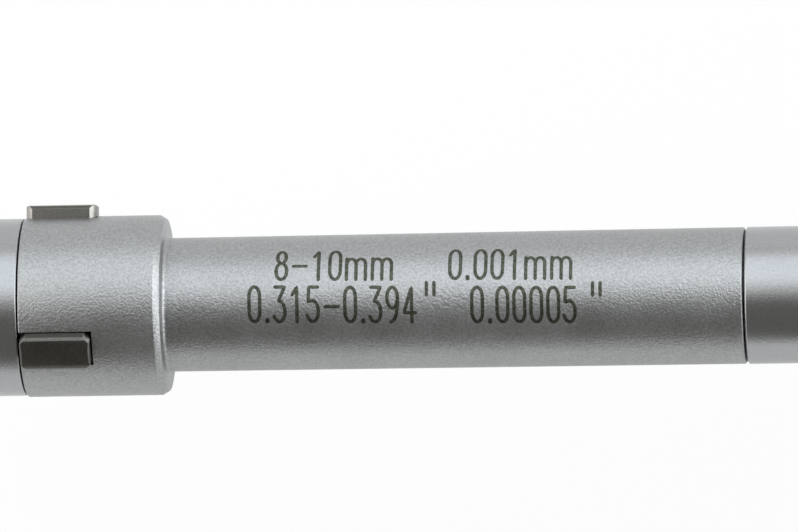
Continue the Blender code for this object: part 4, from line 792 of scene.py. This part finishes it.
def layStrokes(name, strokes, width, radiusAt, finish, body, reference=None):
    # The strokes as one flat bead on a round surface
    curve = bpy.data.curves.new(name, "CURVE")
    curve.dimensions = "3D"
    curve.bevel_depth = width / 2
    curve.bevel_resolution = markSetup["bevelSteps"]
    curve.use_fill_caps = True
    for points in strokes:
        spline = curve.splines.new("POLY")
        looped = len(points) > 4 and math.dist(points[0], points[-1]) < 0.001
        points = denser(points)
        sized = [(point, 1.0) for point in points[:-1]] if looped else withRoundEnds(points, width / 2)
        spline.points.add(len(sized) - 1)
        for point, ((s, t), share) in zip(spline.points, sized):
            point.co = (s, t, 0.0, 1.0)
            point.radius = share
        spline.use_cyclic_u = looped
    thing = bpy.data.objects.new(name, curve)
    bpy.context.scene.collection.objects.link(thing)
    bm = evaluated(thing)
    bpy.data.objects.remove(thing)
    bmesh.ops.remove_doubles(bm, verts=bm.verts, dist=markSetup["same"])
    for vert in bm.verts:
        s, t, lift = vert.co
        base = radiusAt(s)
        radius = base - markSetup["sink"] + lift * markSetup["thickness"] / width
        angle = t / (reference or base)
        vert.co = (along(s), radius * math.sin(angle) * mm, (axisHeight + radius * math.cos(angle)) * mm)
    finishPiece(name, bm, finish, body, markSetup["slot"])


def neckRadius(station):
    share = (station - headSetup["shoulder"]) / (headSetup["neckEnd"] - headSetup["shoulder"])
    return headSetup["neckRadius"] + (headSetup["neckEndRadius"] - headSetup["neckRadius"]) * share


# Text, start and base line, height and lean; the base counts round the neck from its top line
neckLines = [
    ("8-10mm", 11.00, 0.861, 1.64, -0.012),
    ("0.001mm", 18.51, 0.776, 1.64, -0.012),
    ("0.315-0.394", 9.84, -0.954, 1.69, -0.019),
    ('"', 17.47, -1.084, 1.69, -0.019),
    ("0.00005", 19.46, -1.124, 1.69, -0.019),
    ('"', 24.63, -1.214, 1.69, -0.019),
]


def makeNeckMarks():
    strokes = []
    for words, start, base, height, lean in neckLines:
        strokes += strokesOf(words, start, base, height, lean=lean)
    layStrokes("neckMarks", strokes, glyphSetup["stroke"], neckRadius, etchedInk, "frame")


makeNeckMarks()
print("marks on the neck made")

# Stem, nose collar and sleeve

plainTurned = {
    "stem_tube": {
        "name": "stemTube", "steps": 128, "rim": 0.02,
        "outline": [(27.46, 2.16), (31.26, 2.16), (31.26, 2.88), (31.34, 2.96), (64.01, 2.96), (64.01, 2.30),
                    (33.16, 2.30), (33.16, 1.30), (27.46, 1.30)],
    },
    "nose_collar": {
        "name": "noseCollar", "steps": 128, "rim": 0.08,
        "outline": [(57.13, 4.10), (57.53, 4.50), (66.63, 9.0), (67.5, 9.0), (67.7, 8.82), (67.9, 8.82),
                    (68.1, 9.0), (72.43, 9.0), (72.83, 8.6), (72.83, 6.03), (64.13, 6.03), (64.13, 2.99),
                    (57.13, 2.99)],
    },
}
for nodeName, setup in plainTurned.items():
    turned = turnOutline(setup["outline"], setup["steps"], closed=True, rim=setup["rim"])
    dress(nodeName, turned, setup["name"])
print("stem and nose made")


# The sleeve, with its datum line and millimetre scale of the bore's diameter

sleeveSetup = {
    "outline": [(95.97, 6.0), (121.08, 6.0), (121.08, 7.0), (122.88, 7.0), (122.88, 6.0), (125.18, 6.0),
                (125.18, 8.0), (149.88, 8.0), (150.18, 7.7), (150.18, 5.55), (95.97, 5.55)],
    "steps": 128,
    "rim": 0.03,
    "radius": 8.0,
    "datum": (125.7, 131.4),
    "edgeAtRest": 130.0,
    "readingAtRest": 8.8,
    "diameters": (8.0, 8.5, 9.0, 9.5, 10.0),
    "wholeMark": 0.9,
    "halfMark": -0.7,
    "figures": {"base": 1.15, "height": 1.1, "size": 0.72},
    "figureShift": 0.05,
    "stroke": 0.10,
}


def line(s0, t0, s1, t1):
    return [(s0, t0), (s1, t1)]


def makeSleeve(setup):
    bm = turnOutline(setup["outline"], setup["steps"], closed=True, rim=setup["rim"])
    dress("sleeve", bm, "sleeveTube")
    figures = setup["figures"]
    strokes = [line(setup["datum"][0], 0.0, setup["datum"][1], 0.0)]
    for diameter in setup["diameters"]:
        station = setup["edgeAtRest"] + setup["readingAtRest"] - diameter
        whole = diameter == int(diameter)
        strokes.append(line(station, 0.0, station, setup["wholeMark" if whole else "halfMark"]))
        if whole:
            text = str(int(diameter))
            width = (glyphSetup["pitch"] * (len(text) - 1) + glyphSetup["width"]) * figures["size"]
            strokes += strokesOf(text, station - width / 2 - setup["figureShift"], **figures)
    layStrokes("sleeveScale", strokes, setup["stroke"], lambda s: setup["radius"], scaleInk, "frame")


makeSleeve(sleeveSetup)

# The thimble, with fifty divisions on its bevel and a diamond knurl

thimbleSetup = {
    "outline": [(130.0, 8.5), (133.0, 9.5), (136.0, 9.5), (136.2, 9.3), (136.5, 9.3), (136.7, 9.42),
                (161.5, 9.42), (161.7, 9.3), (162.0, 9.3), (162.2, 9.5), (164.24, 9.5), (165.44, 8.3),
                (165.44, 3.73), (159.34, 4.78), (159.34, 8.25), (130.0, 8.25)],
    "steps": 144,
    "rim": 0.05,
    "bevel": {"start": 130.0, "radius": 8.5, "slope": 3.0},
    "divisions": 50,
    "readingAtRest": 30,
    "reference": 9.0,
    "marks": {"start": 130.12, "plain": 130.95, "whole": 131.35, "figures": 131.5},
    "figures": {"height": 1.0, "size": 0.8},
    "stroke": 0.10,
    "knurl": {"start": 136.75, "end": 161.45, "rows": 56, "columns": 136,
              "inner": 8.9, "low": 9.20, "high": 9.5, "crease": 15.0},
}


def bevelRadius(station):
    bevel = thimbleSetup["bevel"]
    return bevel["radius"] + (station - bevel["start"]) / bevel["slope"]


def cylindrical(vert):
    # Station, radius and share of a turn of a point of a piece on the measuring axis
    y, z = vert.co.y, vert.co.z - axisHeight * mm
    return vert.co.x / mm + seamToOrigin, math.hypot(y, z) / mm, math.atan2(y, z) / math.tau


def stretchOut(vert, factor):
    vert.co.y *= factor
    vert.co.z = axisHeight * mm + (vert.co.z - axisHeight * mm) * factor


def diamondKnurl(setup):
    rows, columns = setup["rows"], setup["columns"]
    step = (setup["end"] - setup["start"]) / rows
    outline = [(setup["start"], setup["inner"])]
    outline += [(setup["start"] + step * row, setup["low"]) for row in range(rows + 1)]
    outline += [(setup["end"], setup["inner"])]
    bm = turnOutline(outline, columns, closed=True)
    lows = []
    for vert in bm.verts:
        station, radius, turn = cylindrical(vert)
        if radius < (setup["inner"] + setup["low"]) / 2:
            continue
        row = round((station - setup["start"]) / step)
        if (row + round(turn * columns)) % 2 and 0 < row < rows:
            stretchOut(vert, setup["high"] / radius)
        else:
            lows.append(vert)
    bmesh.ops.connect_verts(bm, verts=lows)
    return bm


def makeThimble(setup):
    bm = turnOutline(setup["outline"], setup["steps"], closed=True, rim=setup["rim"])
    dress("thimble", bm, "thimbleBody")
    slotName = slotOf["thimble"]
    finishPiece(
        "thimbleKnurl", diamondKnurl(setup["knurl"]), finishes[slotName], "spindle_group", slotName,
        crease=setup["knurl"]["crease"],
    )
    marks, figures, reference = setup["marks"], setup["figures"], setup["reference"]
    strokes = []
    for value in range(setup["divisions"]):
        t = -(value - setup["readingAtRest"]) * math.tau / setup["divisions"] * reference
        whole = value % 5 == 0
        strokes.append(line(marks["start"], t, marks["whole" if whole else "plain"], t))
        if whole:
            strokes += strokesOf(str(value), marks["figures"], t - figures["height"] / 2, **figures)
    layStrokes(
        "thimbleScale", strokes, setup["stroke"], bevelRadius, scaleInk, "spindle_group", reference
    )


makeThimble(thimbleSetup)
print("sleeve and thimble made")

# The ratchet: plain body, straight-knurled knob and the slotted screw in its end

ratchetSetup = {
    "body": [(165.62, 6.2), (166.9, 6.2), (167.05, 6.05), (167.35, 6.05), (167.5, 6.2), (168.82, 6.2),
             (168.82, 2.03), (165.62, 2.03)],
    "knob": [(169.12, 6.25), (169.42, 6.55), (169.9, 6.55), (170.1, 6.3), (170.4, 6.3), (170.7, 6.45),
             (178.1, 6.45), (178.4, 6.3), (178.7, 6.3), (178.9, 6.55), (179.12, 6.5), (179.62, 6.0),
             (179.62, 4.2), (172.12, 4.2), (172.12, 1.9), (169.12, 1.9)],
    "teeth": {"start": 170.6, "end": 178.2, "count": 64, "from": 6.4, "low": 6.30, "high": 6.6},
    "screw": [(163.04, 0.0), (163.04, 1.2), (168.8, 1.2), (168.8, 1.7), (176.12, 1.7), (176.12, 3.6),
              (178.12, 3.6), (178.12, 0.0)],
    "slot": {"from": 177.12, "to": 180.0, "half": 0.4, "reach": 5.0},
    "slotTurn": 0.6,
}


def makeRatchet(setup):
    dress("ratchet_body", turnOutline(setup["body"], 112, closed=True, rim=0.06), "ratchetBody")
    teeth = setup["teeth"]
    middle = (teeth["low"] + teeth["high"]) / 2
    heights = (teeth["low"], middle, teeth["high"], middle)
    columns = teeth["count"] * len(heights)
    bm = turnOutline(setup["knob"], columns, closed=True)
    for vert in bm.verts:
        station, radius, turn = cylindrical(vert)
        if radius > teeth["from"] and teeth["start"] < station < teeth["end"]:
            stretchOut(vert, heights[round(turn * columns) % len(heights)] / radius)
    dress("ratchet_knob", bm, "ratchetKnob", crease=28.0)
    bm = turnOutline(setup["screw"], 72, rim=0.12)
    bm = carve(bm, slotTool(setup["slot"], 0.0, axisHeight, setup["slotTurn"]))
    dress("ratchet_screw", bm, "ratchetScrew")


makeRatchet(ratchetSetup)
print("ratchet made")

# The two springs, each a wire wound round the measuring axis

springSetups = {
    "rod_return_spring": {"name": "rodSpring", "turns": 7, "radius": 1.70, "wire": 0.16,
                          "steps": 32, "sides": 10, "presses": True},
    "ratchet_spring": {"name": "ratchetSpring", "turns": 4, "radius": 2.60, "wire": 0.30,
                       "steps": 32, "sides": 12, "presses": False},
}


def makeSpring(node, setup):
    low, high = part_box(node)
    wire = setup["wire"] * mm
    first, last = low[0] + wire, high[0] - wire
    count = setup["turns"] * setup["steps"]
    middle = (0.0, 0.0, axisHeight * mm)
    bm = bmesh.new()
    ring = bmesh.ops.create_circle(bm, segments=setup["sides"], radius=wire)["verts"]
    bmesh.ops.rotate(bm, cent=(0.0, 0.0, 0.0), matrix=Matrix.Rotation(math.pi / 2, 3, "X"), verts=ring)
    bmesh.ops.translate(bm, vec=(first, 0.0, (axisHeight + setup["radius"]) * mm), verts=ring)
    bmesh.ops.spin(
        bm, geom=bm.verts[:] + bm.edges[:], cent=middle, axis=(1.0, 0.0, 0.0),
        dvec=((last - first) / count, 0.0, 0.0), angle=math.tau * setup["turns"], steps=count,
    )
    bmesh.ops.holes_fill(bm, edges=[edge for edge in bm.edges if edge.is_boundary], sides=0)
    if not setup["presses"]:
        dress(node, bm, setup["name"])
        return
    slotName = slotOf[node]
    piece = finishPiece(setup["name"], bm, finishes[slotName], None, slotName, [node])
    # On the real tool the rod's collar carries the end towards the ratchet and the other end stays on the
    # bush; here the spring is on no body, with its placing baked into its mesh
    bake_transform(piece)


for nodeName, setup in springSetups.items():
    makeSpring(nodeName, setup)
print("springs made")

# The display housing in two halves, with what shows through and in it

housingSetup = {
    "half": (26.0, 17.0),
    "wall": 2.0,
    "inWall": 1.0,
    "corner": 6.0,
    "height": 29.0,
    "split": (13.97, 14.03),
    "openTo": (-10.0, 40.0),
    "short": 0.06,
    "topRound": 1.8,
    "baseRound": 1.0,
    "seamRound": 0.16,
    "bore": [(70.0, 0.0), (70.0, 6.03), (128.0, 6.03), (128.0, 0.0)],
    "rib": (-8.5, -5.5),
    "ribTop": 22.2,
    "post": (21.4, 12.4),
    "postRadius": 2.6,
    "screwHole": [(-2.0, 0.0), (-2.0, 1.9), (1.4, 1.9), (1.4, 1.05), (20.0, 1.05), (20.0, 0.0)],
    "threadHole": (10.0, 18.6, 0.98),
    "standoff": (16.55, 12.05),
    "standoffFoot": 24.31,
    "standoffRadius": 1.25,
    "screw": [(0.3, 0.0), (0.3, 1.8), (1.37, 1.8), (1.37, 0.95), (18.3, 0.95), (18.3, 0.0)],
    "screwSlot": {"half": (4.0, 0.25), "heights": (-1.0, 0.8), "turn": 0.7},
}
batterySetup = {
    "centre": (12.5, 0.0),
    "boss": (1.0, 6.71, 12.15),
    "well": [(-2.0, 0.0), (-2.0, 10.95), (1.76, 10.95), (1.76, 10.15), (5.51, 10.15), (5.51, 0.0)],
    "cap": [(0.2, 0.0), (0.2, 8.9), (0.36, 9.05), (0.36, 9.35), (0.2, 9.5), (0.2, 10.8), (1.7, 10.8),
            (1.7, 0.0)],
    "coinSlot": {"size": (13.0, 1.8), "heights": (-1.0, 1.0), "corner": 0.89},
}
windowSetup = {
    "centre": (0.0, 4.5),
    "size": (30.0, 14.0),
    "corner": 1.5,
    "heights": (27.8, 28.94),
    "rim": 0.12,
    "gap": 0.06,
    "seat": 27.74,
    "lip": 1.2,
    "through": (24.0, 32.0),
    "mask": {"size": (29.4, 13.4), "heights": (27.75, 27.79), "corner": 1.2},
    "maskHole": {"size": (25.4, 10.0), "heights": (27.0, 28.6), "corner": 0.8},
}
buttonSetup = {
    "places": [(-10.2, -9.5), (0.0, -9.5), (10.2, -9.5)],
    "size": (8.0, 4.4),
    "corner": 2.0,
    "heights": (26.14, 29.9),
    "topRound": 0.45,
    "gap": 0.15,
    "holeCorner": 2.1,
    "through": (25.0, 32.0),
    "flange": 0.7,
    "flangeHeights": (26.08, 26.94),
    "stem": 1.3,
    "stemHeights": (25.37, 26.5),
}


def uprightEdges(bm):
    return [edge for edge in bm.edges if abs(edge.verts[0].co.z - edge.verts[1].co.z) > samePoint]


def levelEdges(edges, height):
    return [edge for edge in edges if all(abs(v.co.z - height * mm) < samePoint for v in edge.verts)]


def roundBox(low, high, corner, steps=10, top=0.0, base=0.0, rimSteps=4):
    # A box with rounded upright edges, and rounded rims where asked
    bm = bmesh.new()
    addBlock(bm, low, high)
    bevelEdges(bm, uprightEdges(bm), corner, steps)
    for height, rim in ((high[2], top), (low[2], base)):
        if rim:
            bevelEdges(bm, levelEdges(bm.edges, height), rim, rimSteps)
    return bm


def centredBox(centre, size, heights, corner, grown=0.0, **more):
    x, y = centre
    w, d = size[0] / 2 + grown, size[1] / 2 + grown
    return roundBox((x - w, y - d, heights[0]), (x + w, y + d, heights[1]), corner, **more)


def fourCorners(x, y):
    return [(sx * x, sy * y) for sx in (-1, 1) for sy in (-1, 1)]


def turnUpright(outline, centre, steps=48, rim=0.0):
    return turnOutline(outline, steps, centre=centre, upright=True, rim=rim)


def rod(z0, z1, radius):
    return [(z0, 0.0), (z0, radius), (z1, radius), (z1, 0.0)]


def shell(setup, heights, inside, **rounds):
    hx, hy = setup["half"]
    wall, corner = setup["wall"], setup["corner"]
    outer = roundBox((-hx, -hy, heights[0]), (hx, hy, heights[1]), corner, 14, rimSteps=6, **rounds)
    hx, hy = hx - wall, hy - wall
    return carve(outer, roundBox((-hx, -hy, inside[0]), (hx, hy, inside[1]), corner - wall))


def addPostsAndRib(bm, setup, posts, rib):
    for place in fourCorners(*setup["post"]):
        merge(bm, turnUpright(rod(*posts, setup["postRadius"]), place, 36))
    reach = setup["half"][1] - setup["inWall"]
    addBlock(bm, (setup["rib"][0], -reach, rib[0]), (setup["rib"][1], reach, rib[1]))


def softenOpenings(bm, height, width):
    # The rims of the openings in a flat face
    bevelEdges(bm, levelEdges(sharpEdges(bm, 50.0), height), width)


def makeHousingBack(setup, battery):
    top = setup["split"][0]
    bm = shell(setup, (0.0, top), (setup["wall"], setup["openTo"][1]),
               base=setup["baseRound"], top=setup["seamRound"])
    added = bmesh.new()
    merge(added, turnUpright(rod(*battery["boss"]), battery["centre"], 96))
    reach = (setup["inWall"], top - setup["short"])
    addPostsAndRib(added, setup, reach, reach)
    bm = carve(bm, added, "UNION")
    tools = turnOutline(setup["bore"], 96)
    merge(tools, turnUpright(battery["well"], battery["centre"], 96))
    for place in fourCorners(*setup["post"]):
        merge(tools, turnUpright(setup["screwHole"], place, 36))
    bm = carve(bm, tools)
    softenOpenings(bm, 0.0, 0.12)
    dress("housing_back", bm, "housingBack", crease=28.0)


def makeHousingFront(setup, window, buttons):
    base, height = setup["split"][1], setup["height"]
    bm = shell(setup, (base, height), (setup["openTo"][0], height - setup["wall"]),
               top=setup["topRound"], base=setup["seamRound"])
    added = bmesh.new()
    foot, ceiling = base + setup["short"], height - setup["inWall"]
    addPostsAndRib(added, setup, (foot, ceiling), (foot, setup["ribTop"]))
    for place in fourCorners(*setup["standoff"]):
        merge(added, turnUpright(rod(setup["standoffFoot"], ceiling, setup["standoffRadius"]), place, 24))
    bm = carve(bm, added, "UNION")
    tools = turnOutline(setup["bore"], 96)
    pocket = (window["seat"], window["through"][1])
    corner = window["corner"] + window["gap"]
    merge(tools, centredBox(window["centre"], window["size"], pocket, corner, window["gap"]))
    for place in fourCorners(*setup["post"]):
        merge(tools, turnUpright(rod(*setup["threadHole"]), place, 24))
    bm = carve(bm, tools)
    tools = centredBox(
        window["centre"], window["size"], window["through"], window["corner"] / 2, -window["lip"]
    )
    for place in buttons["places"]:
        merge(tools, centredBox(
            place, buttons["size"], buttons["through"], buttons["holeCorner"], buttons["gap"]
        ))
    bm = carve(bm, tools)
    softenOpenings(bm, height, 0.14)
    dress("housing_front", bm, "housingFront", crease=28.0)


def makeHousingScrews(setup):
    slot = setup["screwSlot"]
    (w, d), (z0, z1) = slot["half"], slot["heights"]
    for index, (x, y) in enumerate(fourCorners(*setup["post"])):
        bm = turnUpright(setup["screw"], (x, y), rim=0.12)
        tools = bmesh.new()
        made = addBlock(tools, (x - w, y - d, z0), (x + w, y + d, z1))
        turnAbout(tools, made, slot["turn"] * (index + 1), "Z", (x * mm, y * mm, 0.0))
        dress(f"housing_screw_{index + 1}", carve(bm, tools), f"housingScrew{index + 1}")


def makeBatteryCap(setup):
    bm = turnUpright(setup["cap"], setup["centre"], 128, rim=0.1)
    bm = carve(bm, centredBox(setup["centre"], **setup["coinSlot"]))
    softenOpenings(bm, setup["cap"][0][0], 0.1)
    dress("battery_cap", bm, "batteryCap", crease=28.0)


def makeButtons(setup):
    w, d = (side / 2 + setup["flange"] for side in setup["size"])
    stem = setup["stem"]
    feet = (((w, d), setup["flangeHeights"]), ((stem, stem), setup["stemHeights"]))
    for index, (x, y) in enumerate(setup["places"]):
        bm = centredBox(
            (x, y), setup["size"], setup["heights"], setup["corner"], top=setup["topRound"], steps=8
        )
        for (dx, dy), (z0, z1) in feet:
            added = bmesh.new()
            addBlock(added, (x - dx, y - dy, z0), (x + dx, y + dy, z1))
            bm = carve(bm, added, "UNION")
        dress(f"button_{index + 1}", bm, f"button{index + 1}", crease=28.0)


def makeWindow(setup):
    middle, rim = setup["centre"], setup["rim"]
    bm = centredBox(
        middle, setup["size"], setup["heights"], setup["corner"], top=rim, base=rim, rimSteps=2
    )
    dress("lcd_window", bm, "displayWindow")
    bm = carve(centredBox(middle, **setup["mask"]), centredBox(middle, **setup["maskHole"]))
    finishPiece("displayMask", bm, finishes["cap_plastic"], "frame", "cap_plastic")


makeHousingBack(housingSetup, batterySetup)
makeHousingFront(housingSetup, windowSetup, buttonSetup)
makeHousingScrews(housingSetup)
makeBatteryCap(batterySetup)
makeButtons(buttonSetup)
makeWindow(windowSetup)
print("housing made")

# The reading on the display and the words by the buttons

displaySetup = {
    "reading": "8.800",
    "digit": (3.5, 6.4),
    "pitch": 4.9,
    "bar": 0.62,
    "gap": 0.10,
    "pointed": 0.48,
    "left": -10.9,
    "middle": 4.5,
    "slant": 0.10,
    "point": {"across": (-1.05, -0.4), "upwards": (-0.3, 0.35)},
    "level": (26.87, 26.90),
}

barsOn = {"8": "abcdefg", "0": "abcdef"}


def addBar(bm, x0, y0, x1, y1, setup):
    # A display segment with pointed ends
    part = bmesh.new()
    grow = setup["bar"] / 2
    bottom, top = setup["level"]
    addBlock(part, (x0 - grow, y0 - grow, bottom), (x1 + grow, y1 + grow, top))
    bevelEdges(part, uprightEdges(part), setup["bar"] * setup["pointed"], 1)
    merge(bm, part)


def makeReading(setup):
    w, h = setup["digit"]
    y = setup["middle"]
    top, low = y + h / 2, y - h / 2
    bottom, face = setup["level"]
    inset = setup["bar"] / 2 + setup["gap"]
    bm = bmesh.new()
    at = setup["left"]
    for letter in setup["reading"]:
        if letter == ".":
            (x0, x1), (y0, y1) = setup["point"]["across"], setup["point"]["upwards"]
            addBlock(bm, (at + x0, low + y0, bottom), (at + x1, low + y1, face))
            continue
        places = {
            "a": (at + inset, top, at + w - inset, top), "d": (at + inset, low, at + w - inset, low),
            "g": (at + inset, y, at + w - inset, y), "f": (at, y + inset, at, top - inset),
            "b": (at + w, y + inset, at + w, top - inset), "e": (at, low + inset, at, y - inset),
            "c": (at + w, low + inset, at + w, y - inset),
        }
        for name in barsOn[letter]:
            addBar(bm, *places[name], setup)
        at += setup["pitch"]
    for vert in bm.verts:
        vert.co.x += (vert.co.y - y * mm) * setup["slant"]
    finishPiece("displayReading", bm, segmentInk, "frame", "cap_plastic")


unitSetup = {"place": (10.4, 2.6), "height": 1.4, "level": displaySetup["level"]}
wordSetup = {"height": 1.35, "level": (28.98, 29.012)}
wordPlaces = {"ON/OFF": (-10.2, -5.3), "ZERO": (0.0, -5.3), "mm/in": (10.2, -5.3)}


def makeWord(name, text, ink, slotName, place, height, level):
    low, high = level
    curve = bpy.data.curves.new(name, "FONT")
    curve.body = text
    curve.size = height / 0.7  # capitals of the built-in font are 0.7 of its size
    curve.align_x = "CENTER"
    curve.align_y = "CENTER"
    curve.extrude = (high - low) / 2
    curve.resolution_u = 4
    thing = bpy.data.objects.new(name, curve)
    bpy.context.scene.collection.objects.link(thing)
    bm = evaluated(thing)
    bpy.data.objects.remove(thing)
    bmesh.ops.scale(bm, vec=(mm, mm, mm), verts=bm.verts)
    bmesh.ops.translate(bm, vec=Vector((*place, (low + high) / 2)) * mm, verts=bm.verts)
    finishPiece(name, bm, ink, "frame", slotName)


makeReading(displaySetup)
makeWord("displayUnit", "mm", segmentInk, "cap_plastic", **unitSetup)
for wordIndex, (word, place) in enumerate(wordPlaces.items()):
    makeWord(f"word{wordIndex + 1}", word, labelInk, "display_panel", place, **wordSetup)
print("reading and words made")
